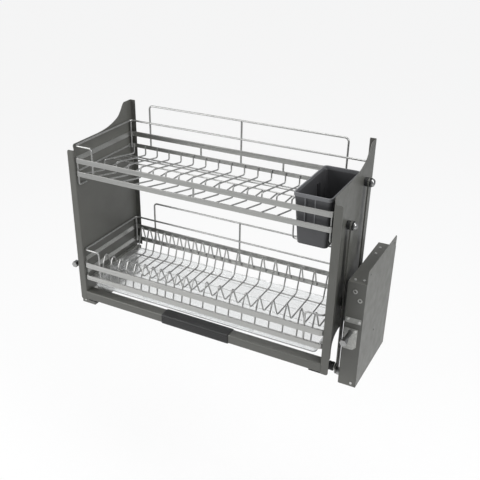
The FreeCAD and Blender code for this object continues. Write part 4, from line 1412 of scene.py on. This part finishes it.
@dataclass
class DripTray:
    """The clear tray under the lower basket, and the strips it slides on."""

    half: float = 338.0
    rim: float = 346.0
    rim_ends: float = 2.0
    front: float = 15.0
    back: float = 252.0
    base_z: float = 45.5
    rim_z: float = 60.0
    wall: float = 2.0
    corner: float = 10.0
    ribs: int = 5
    rib_first: float = 45.0
    rib_pitch: float = 44.0
    rib_half: float = 320.0
    rib_radius: float = 1.4
    rib_sunk: float = 0.6
    lip_half: float = 169.0
    lip_y: Pair = (11.0, 13.2)
    lip_low: float = 55.0
    strip: Profile = ((340.0, 58.4), (349.5, 58.4), (349.5, 67.6), (359.4, 67.6), (359.4, 69.1),
                      (348.0, 69.1), (348.0, 59.9), (340.0, 59.9))
    strip_front: float = 32.0
    strip_length: float = 222.5
    stop_sheet: float = 1.5

    def build(self) -> None:
        """Builds the tray with drain ribs, and its two strips."""
        form = Form()
        top, floor = self.rim_z + self.wall, self.base_z + self.wall
        verts = form.slab((-self.half, self.front, self.base_z), (self.half, self.back, self.rim_z))
        form.bevel(form.running(verts, 2), self.corner, 5)
        shell = (-self.half, self.half, self.front, self.back)
        edge = (-self.rim, self.rim, self.front - self.rim_ends, self.back + self.rim_ends)
        room = (self.wall - self.half, self.half - self.wall, self.front + self.wall,
                self.back - self.wall)
        lid = form.top_face()
        for rise, old, new in ((0.0, shell, edge), (self.wall, edge, edge), (0.0, edge, room),
                               (floor - top, room, room)):
            lid = form.draw(lid, rise, old, new)
        form.soften(0.6, 2, limit=50.0)
        z = floor - self.rib_sunk
        for y in (self.rib_first + self.rib_pitch * index for index in range(self.ribs)):
            form.drum((-self.rib_half, y, z), (self.rib_half, y, z), self.rib_radius, 10)
        form.slab((-self.lip_half, self.lip_y[0], self.lip_low), (self.lip_half, self.lip_y[1], top))
        form.piece("clear_tray", TRAY_PLASTIC, "drip_tray", "drip_tray")
        self._strips()

    def _strips(self) -> None:
        """Builds the folded strips that carry the tray's rim, with a stop at the back."""
        form = Form()
        form.plate(Plane.XZ, self.strip, self.strip_front, self.strip_length)
        stop = rectangle(self.strip[0], (self.strip[1][0], self.strip[4][1]))
        form.plate(Plane.XZ, stop, self.strip_front + self.strip_length, self.stop_sheet)
        form.soften(0.3)
        form.both_sides()
        form.piece("tray_slide_strips", ZINC, "rack", "tray_runners")


@dataclass
class Screws:
    """Pan head screws with a cross slot.

    The taper and the slot's reach are shares of the head's radius.
    """

    head: float = 3.6
    taper: float = 0.86
    height: float = 1.8
    slot: float = 0.45
    slot_reach: float = 0.55
    slot_deep: float = 0.9

    def add(self, form: Form, seat: Point, outward: Point) -> None:
        """Adds a screw head on its seat.

        Args:
            form: The form that it goes into.
            seat: The middle of the head's underside.
            outward: The way that the head faces.
        """
        before = set(form.mesh.verts)
        bmesh.ops.create_cone(form.mesh, cap_ends=True, segments=20, radius1=self.head,
                              radius2=self.head * self.taper, depth=self.height,
                              matrix=Matrix.Translation((0.0, 0.0, self.height / 2)))
        reach = self.head * self.slot_reach
        for level in (-reach, -self.slot, self.slot, reach):
            form.cut(self._cap(form, before), (level, 0.0, 0.0), RIGHT, 0.0001)
            form.cut(self._cap(form, before), (0.0, level, 0.0), BACK, 0.0001)
        cross = []
        for face in self._cap(form, before):
            middle = face.calc_center_median()
            near, far = sorted((abs(middle.x), abs(middle.y)))
            if near < self.slot and far < reach:
                cross.append(face)
        bmesh.ops.inset_region(form.mesh, faces=cross, thickness=0.05, depth=-self.slot_deep)
        verts = [vert for vert in form.mesh.verts if vert not in before]
        turn = Vector(outward).to_track_quat("Z", "Y").to_matrix().to_4x4()
        bmesh.ops.transform(form.mesh, verts=verts, matrix=Matrix.Translation(seat) @ turn)

    def _cap(self, form: Form, before: set[bmesh.types.BMVert]) -> Faces:
        """The faces on top of the head that is being made."""
        return [face for face in form.mesh.faces
                if face.verts[0] not in before and face.normal.z > SQUARE_ON]


RING_PLACES: Profile = ((406.0, 214.0), (420.0, 192.0))
RING_BORE = 2.8


@dataclass
class SideUnit:
    """One side unit: a folded box on the cabinet wall, with its adjuster.

    Holes are given by their places in the sheet that they pierce. Turned profiles
    are pairs of radius and height.
    """

    side: Side
    inner: float = 386.3
    cover: float = 2.0
    shell: float = 388.4
    outer: float = 432.4
    front: float = 66.0
    back: float = 299.7
    low: float = -61.4
    high: float = 237.5
    sheet: float = 1.5
    tab_front: float = 68.5
    tab_back: float = 296.7
    tab_z: float = 272.0
    tab_corner: float = 8.0
    fixing_holes: Profile = ((176.0, 51.0), (89.0, 256.0), (279.0, 256.0))
    fixing_bore: float = 2.75
    plate_low: Pair = (389.0, 126.0)
    plate_high: Pair = (429.0, 140.5)
    plate_thick: float = 1.2
    plate_corner: float = 2.0
    bracket: Profile = ((388.6, 50.0), (414.0, 50.0), (423.0, 59.0), (423.0, 111.0),
                        (388.6, 111.0))
    bracket_thick: float = 2.0
    adjuster: Pair = (405.0, 98.0)
    adjuster_bore: float = 4.3
    bracket_bore: float = 4.4
    head_y: Pair = (12.0, 28.0)
    across_flats: float = 16.0
    sleeve_y: float = 27.9
    sleeve: Profile = ((0.0, 0.0), (5.2, 0.0), (5.5, 0.5), (5.5, 32.6), (0.0, 32.6))
    bolt_y: float = 60.6
    collar: Profile = ((4.1, 0.0), (6.6, 0.0), (7.0, 0.4), (7.0, 2.6), (6.6, 3.0), (4.1, 3.0),
                       (4.1, 0.0))
    rod: float = 3.95
    rod_plain: float = 38.0
    rod_end: float = 114.4
    thread_root: float = 3.4
    thread_start: float = 41.0
    thread_pitch: float = 1.5
    thread_turns: int = 42

    def build(self) -> None:
        """Builds the box, its plates and its adjuster."""
        self._box()
        self._front_parts()
        self._adjuster()
        dress(ZINC, f"tension_nut_{self.side.word}")

    def _place(self, form: Form, name: str, finish: Finish, node: str,
               body: str = "side_units") -> None:
        """Makes a form a piece on this unit's side. Its name and node are given without it."""
        form.on(self.side)
        form.piece(f"{name}_{self.side.word}", finish, body, f"{node}_{self.side.word}")

    def _box(self) -> None:
        """Folds the box out of sheet, with the fixing tab on its outer wall."""
        form, cover, s = Form(), Form(), self.sheet
        wall = [(self.front, self.low), (self.back, self.low), (self.back, self.high),
                (self.tab_back, self.high), (self.tab_back, self.tab_z),
                (self.tab_front, self.tab_z), (self.tab_front, self.high), (self.front, self.high)]
        holes = [(y, z, self.fixing_bore) for y, z in self.fixing_holes]
        form.plate(Plane.YZ, wall, self.outer - s, s, holes, self.tab_corner, (4, 5))
        edge = self.outer - s - AIR
        face = rectangle((self.shell, self.low), (edge, self.high))
        holes = [(*self.adjuster, self.adjuster_bore), *((x, z, RING_BORE) for x, z in RING_PLACES)]
        form.plate(Plane.XZ, face, self.front, s, holes)
        form.plate(Plane.XZ, face, self.back - s, s)
        lid = rectangle((self.shell, self.front + s + AIR), (edge, self.back - s - AIR))
        for level in (self.low, self.high - s):
            form.plate(Plane.XY, lid, level, s)
        form.soften(0.5, 2, limit=60.0)
        self._place(form, "folded_box", UNIT_PAINT, "unit_shell")
        cover.slab((self.inner, self.front, self.low),
                   (self.inner + self.cover, self.back, self.high))
        cover.soften(0.5)
        self._place(cover, "inner_cover", UNIT_PAINT, "unit_inner_plate")

    def _front_parts(self) -> None:
        """Builds the pale plate and the zinc bracket on the front."""
        plate, bracket = Form(), Form()
        plate.plate(Plane.XZ, rectangle(self.plate_low, self.plate_high),
                    self.front - self.plate_thick - AIR, self.plate_thick, (), self.plate_corner)
        plate.soften(0.2)
        self._place(plate, "pale_plate", PALE_PLATE, "front_plate")
        bracket.plate(Plane.XZ, self.bracket, self.front - self.bracket_thick - AIR,
                      self.bracket_thick, [(*self.adjuster, self.bracket_bore)])
        bracket.soften(0.3)
        self._place(bracket, "zinc_bracket", ZINC, "adjuster_bracket")

    def _adjuster(self) -> None:
        """Builds the adjusting bolt with its hexagon head and its thread."""
        form = Form()
        x, z = self.adjuster
        head = form.drum((x, self.head_y[0], z), (x, self.head_y[1], z),
                         self.across_flats / math.sqrt(3), 6)
        bmesh.ops.rotate(form.mesh, verts=head, cent=(x, 0.0, z),
                         matrix=Matrix.Rotation(math.radians(30), 3, "Y"))
        form.soften(0.8, 2)
        thread = [(0.0, 0.0), (self.rod, 0.0), (self.rod, self.rod_plain)]
        for index in range(self.thread_turns):
            y = self.thread_start + self.thread_pitch * index
            thread += [(self.thread_root, y), (self.rod, y + self.thread_pitch / 2)]
        thread += [(self.rod, self.rod_end), (0.0, self.rod_end)]
        form.turned((x, self.bolt_y, z), BACK, thread, 16)
        form.turned((x, self.sleeve_y, z), BACK, self.sleeve)
        form.turned((x, self.bolt_y, z), BACK, self.collar)
        self._place(form, "hex_adjuster", BRIGHT, "adjuster_bolt", f"adjuster_{self.side.word}")


@dataclass
class UnitTrim:
    """Small parts that both side units share.

    A front screw is its X and Z and the depth of its seat, and a top screw its X
    and Y.
    """

    front_screws: tuple[Point, ...] = ((396.0, 136.0, 64.6), (424.5, 132.5, 64.6),
                                       (393.5, 57.0, 63.8), (417.0, 104.5, 63.8),
                                       (420.0, -51.0, 65.9))
    top_screws: Profile = ((400.0, 270.0), (400.0, 233.0), (399.0, 81.0), (420.0, 85.0))
    top_seat: float = 237.6
    ring_seat: float = 65.9
    ring: Profile = ((RING_BORE, 0.0), (6.0, 0.0), (6.0, 0.9), (5.2, 1.5), (3.4, 1.5),
                     (RING_BORE, 0.9), (RING_BORE, 0.0))
    plug_y: Pair = (66.4, 67.3)
    plug: float = 2.75

    def build(self) -> None:
        """Builds the screws, the rings and the plugs behind them."""
        heads, rings, plugs, screw = Form(), Form(), Form(), Screws()
        for x, z, seat in self.front_screws:
            screw.add(heads, (x, seat, z), FRONT)
        for x, y in self.top_screws:
            screw.add(heads, (x, y, self.top_seat), UP)
        heads.both_sides()
        heads.piece("pan_head_screws", SCREW_PLATE, "side_units", "unit_screws")
        for x, z in RING_PLACES:
            rings.turned((x, self.ring_seat, z), FRONT, self.ring)
            plugs.drum((x, self.plug_y[0], z), (x, self.plug_y[1], z), self.plug, 16)
        rings.both_sides()
        rings.piece("hole_rings", ZINC, "side_units", "unit_rings")
        plugs.both_sides()
        plugs.piece("hole_plugs", UNIT_PAINT, "side_units")
        dress(ZINC, "shaft_bushes", "turning_dampers")


@dataclass(frozen=True)
class Arm:
    """Where an arm's two pivots are: both at one Y, and each at its height."""

    name: str
    y: float
    low: float
    high: float


FRONT_ARM = Arm("front", 99.0, -51.0, 365.0)
REAR_ARM = Arm("rear", 205.0, 19.0, 435.0)


@dataclass
class ArmPair:
    """The two arms on one side, with their shafts and rubber stop.

    The stop is at a Y and a Z, on an ear of the front arm. Turned profiles are
    pairs of radius and height.
    """

    side: Side
    inner: float = 369.0
    thick: float = 4.0
    half: float = 9.0
    head: float = 12.0
    stop: Pair = (87.0, -32.0)
    shaft_x: float = 365.5
    shaft: Profile = ((0.0, 0.0), (7.4, 0.0), (9.0, 1.3), (9.0, 3.4), (4.0, 3.4), (4.0, 7.6),
                      (10.0, 7.6), (10.0, 20.5), (6.0, 20.5), (6.0, 64.7), (0.0, 64.7))
    rubber_x: float = 350.0
    rubber: Profile = ((4.1, 0.0), (10.5, 0.0), (12.0, 1.5), (12.0, 6.2), (11.4, 6.8),
                       (11.4, 9.6), (12.0, 10.2), (12.0, 15.2), (10.5, 16.7), (4.1, 16.7),
                       (4.1, 0.0))
    pin_x: float = 347.5
    pin: Profile = ((0.0, 0.0), (6.0, 0.0), (7.0, 0.8), (7.0, 2.4), (4.0, 2.4), (4.0, 19.3),
                    (9.0, 19.3), (9.0, 21.4), (4.0, 21.4), (4.0, 25.5), (0.0, 25.5))

    def build(self) -> None:
        """Builds both arms, then the stop."""
        for arm in (FRONT_ARM, REAR_ARM):
            form, shaft = Form(), Form()
            form.plate(Plane.YZ, self._bar(arm), self.inner, self.thick)
            if arm is FRONT_ARM:
                form.drum((self.inner, *self.stop), (self.inner + self.thick, *self.stop),
                          self.half, 28)
            form.soften(0.7, 3, limit=50.0)
            self._place(form, f"{arm.name}_bar", GREY_PAINT, arm, f"{arm.name}_arm")
            shaft.turned((self.shaft_x, arm.y, arm.low), RIGHT, self.shaft, 32)
            self._place(shaft, f"{arm.name}_pivot_pin", BRIGHT, arm, f"{arm.name}_shaft")
        rubber, pin = Form(), Form()
        rubber.turned((self.rubber_x, *self.stop), RIGHT, self.rubber, 32)
        self._place(rubber, "rubber_stop", RUBBER, FRONT_ARM, "stop_bumper")
        pin.turned((self.pin_x, *self.stop), RIGHT, self.pin)
        self._place(pin, "stop_rod", ZINC, FRONT_ARM, "stop_pin")

    def _place(self, form: Form, name: str, finish: Finish, arm: Arm, node: str) -> None:
        """Moves a form to this pair's side and makes it a piece of an arm.

        Args:
            form: The form.
            name: The piece's name without its side.
            finish: Its finish.
            arm: The arm that it moves with.
            node: The name of its node without its side.
        """
        word = self.side.word
        form.on(self.side)
        form.piece(f"{name}_{word}", finish, f"{arm.name}_arm_{word}", f"{node}_{word}")

    def _bar(self, arm: Arm) -> list[Pair]:
        """Draws the outline of an arm with round ends, the upper one larger.

        Args:
            arm: The arm.

        Returns:
            The outline's points in Y and Z.
        """
        start = math.asin(self.half / self.head) - math.pi / 2
        return [*arc((arm.y, arm.low), self.half, math.pi, math.pi, 12),
                *arc((arm.y, arm.high), self.head, start, math.pi - 2 * start, 16)]


@dataclass
class UpperPivots:
    """The four pivots that join the arms to the side panels, and the guide pads.

    Turned profiles are pairs of radius and height.
    """

    panel: float = 361.1
    washer_x: float = 373.4
    rivet_x: float = 378.0
    shank: float = 4.0
    shank_length: float = 18.5
    dome: float = 10.0
    dome_edge: float = 1.0
    dome_rise: float = 6.2
    dome_steps: int = 9
    bush: Profile = ((4.1, 0.0), (10.2, 0.0), (11.0, 0.8), (11.0, 6.9), (10.3, 7.6), (6.0, 7.6),
                     (6.0, 12.2), (4.1, 12.2), (4.1, 0.0))
    washer: Profile = ((4.1, 0.0), (10.4, 0.0), (11.0, 0.6), (11.0, 3.9), (10.4, 4.5), (4.1, 4.5),
                       (4.1, 0.0))
    pad_place: Pair = (113.0, 148.0)
    pad: Profile = ((0.0, 0.0), (11.0, 0.0), (11.0, 6.2), (9.8, 7.6), (0.0, 7.6))

    def _rivet(self) -> list[Pair]:
        """The profile of a rivet with a domed head.

        Returns:
            Pairs of radius and height, from the shank's end to the dome's top.
        """
        turns = [math.pi / 2 * step / self.dome_steps for step in range(1, self.dome_steps)]
        return [(0.0, -self.shank_length), (self.shank, -self.shank_length), (self.shank, 0.0),
                (self.dome, 0.0), (self.dome - 0.1, self.dome_edge),
                *((self.dome * math.cos(turn), self.dome_edge + self.dome_rise * math.sin(turn))
                  for turn in turns), (0.0, self.dome_edge + self.dome_rise)]

    def build(self) -> None:
        """Builds the rivets, the bushes and the guide pads."""
        rivets, bushes, pads = Form(), Form(), Form()
        for arm in (FRONT_ARM, REAR_ARM):
            rivets.turned((self.rivet_x, arm.y, arm.high), RIGHT, self._rivet(), 32)
            bushes.turned((self.panel, arm.y, arm.high), RIGHT, self.bush, 32)
            bushes.turned((self.washer_x, arm.y, arm.high), RIGHT, self.washer, 32)
        pads.turned((self.panel, *self.pad_place), RIGHT, self.pad, 32)
        for form, name, finish, node in ((rivets, "domed_rivets", BRIGHT, "pivot_rivets"),
                                         (bushes, "flanged_bushes", DARK_PLASTIC, "pivot_bushes"),
                                         (pads, "round_guide_pads", RUBBER, "guide_pads")):
            form.both_sides()
            form.piece(name, finish, "rack", node)


@dataclass(frozen=True)
class Lamp:
    """A soft square lamp: its place and side in metres, and its power in watts."""

    name: str
    place: Point
    size: float
    power: float

    def build(self, target: Vector) -> None:
        """Hangs the lamp so that it faces a point.

        Args:
            target: The point, in metres.
        """
        data = bpy.data.lights.new(self.name, "AREA")
        data.shape, data.size, data.energy = "SQUARE", self.size, self.power
        lamp = bpy.data.objects.new(self.name, data)
        lamp.location = self.place
        lamp.rotation_mode = "QUATERNION"
        lamp.rotation_quaternion = (target - Vector(self.place)).to_track_quat("-Z", "Y")
        bpy.context.scene.collection.objects.link(lamp)


@dataclass
class Studio:
    """The pale floor, the soft lights and the camera.

    Angles are in degrees. The camera's place is in the rack's millimetres, and
    the floor and the lamps are in metres.
    """

    azimuth: float = 29.6956
    elevation: float = 28.5523
    roll: float = -0.2966
    place: Point = (815.46, -1365.96, 1075.26)
    lens: float = 53.385
    sensor: float = 36.0
    shift: Pair = (0.0718, 0.0519)
    clip: Pair = (0.05, 100.0)
    floor_level: float = -0.53
    floor_size: float = 30.0
    floor_shade: float = 0.9
    floor_glow: float = 0.87
    floor_rough: float = 0.9
    room_light: float = 0.34
    room_colour: Point = (0.95, 0.97, 1.0)
    lamp_target: Point = (0.0, 0.0, 0.25)
    lamps: tuple[Lamp, ...] = (Lamp("key_light", (2.7, -0.5, 1.9), 1.6, 53.0),
                               Lamp("left_light", (-1.6, -1.8, 1.1), 1.5, 37.0),
                               Lamp("top_light", (0.0, 0.1, 2.6), 1.8, 36.0))

    def build(self) -> None:
        """Sets up everything around the rack."""
        self._floor()
        self._world()
        for lamp in self.lamps:
            lamp.build(Vector(self.lamp_target))
        self._camera()
        bpy.context.scene.view_settings.view_transform = "Standard"

    def _floor(self) -> None:
        """Lays the pale floor, low enough for the rack to come down over it."""
        form = bmesh.new()
        bmesh.ops.create_grid(form, x_segments=1, y_segments=1, size=self.floor_size,
                              matrix=Matrix.Translation((0.0, 0.0, self.floor_level)))
        data = bpy.data.meshes.new("pale_floor")
        form.to_mesh(data)
        form.free()
        floor = bpy.data.objects.new("pale_floor", data)
        bpy.context.scene.collection.objects.link(floor)
        data.materials.append(self._floor_material())

    def _floor_material(self) -> bpy.types.Material:
        """Makes the floor nearly white to the camera, with some of the shadow kept.

        Returns:
            The material.
        """
        material = bpy.data.materials.new("pale_floor")
        sheet = MaterialSheet(material)
        sheet.set("Base Color", (*[self.floor_shade] * 3, 1.0))
        sheet.set("Roughness", self.floor_rough)
        sheet.set("Specular IOR Level", 0.0)
        glow, share = sheet.add("ShaderNodeEmission"), sheet.add("ShaderNodeMath")
        glow.inputs["Color"].default_value = (1.0, 1.0, 1.0, 1.0)
        share.operation = "MULTIPLY"
        share.inputs[1].default_value = self.floor_glow
        sheet.link(sheet.background_rays(), share.inputs[0])
        sheet.blend(share.outputs[0], sheet.shader, glow)
        return material

    def _world(self) -> None:
        """Makes an even pale surrounding, white where the camera sees it."""
        world = bpy.data.worlds.new("soft_room")
        bpy.context.scene.world = world
        sheet = NodeSheet(world, "ShaderNodeOutputWorld")
        dim, bright = sheet.add("ShaderNodeBackground"), sheet.add("ShaderNodeBackground")
        dim.inputs["Strength"].default_value = self.room_light
        dim.inputs["Color"].default_value = (*self.room_colour, 1.0)
        bright.inputs["Color"].default_value = (1.0, 1.0, 1.0, 1.0)
        sheet.blend(sheet.background_rays(), dim, bright)

    def _camera(self) -> None:
        """Puts the camera where the photograph was taken from."""
        a, e, r = (math.radians(angle) for angle in (self.azimuth, self.elevation, self.roll))
        back = Vector((math.sin(a) * math.cos(e), -math.cos(a) * math.cos(e), math.sin(e)))
        right = Vector(UP).cross(back).normalized()
        up = back.cross(right)
        rolled = (right * math.cos(r) + up * math.sin(r), up * math.cos(r) - right * math.sin(r),
                  back)
        data = bpy.data.cameras.new("photo_view")
        data.lens, data.sensor_width = self.lens, self.sensor
        data.shift_x, data.shift_y = self.shift
        data.clip_start, data.clip_end = self.clip
        camera = bpy.data.objects.new("photo_view", data)
        turn = Matrix(rolled).transposed().to_4x4()
        camera.matrix_world = Matrix.Translation(TO_FRAME @ Vector(self.place)) @ turn
        bpy.context.scene.collection.objects.link(camera)
        bpy.context.scene.camera = camera


def main() -> None:
    """Builds the rack's pieces in order, then the room around it."""
    logging.basicConfig(level=logging.INFO, format="%(message)s")
    for side in Side:
        RackSide(side).build()
        SideUnit(side).build()
        ArmPair(side).build()
    for part in (UnitTrim(), UpperPivots(), Handle(), UpperBasket(), LowerBasket(), CutleryBox(),
                 DripTray(), Studio()):
        part.build()


if __name__ == "__main__":
    main()
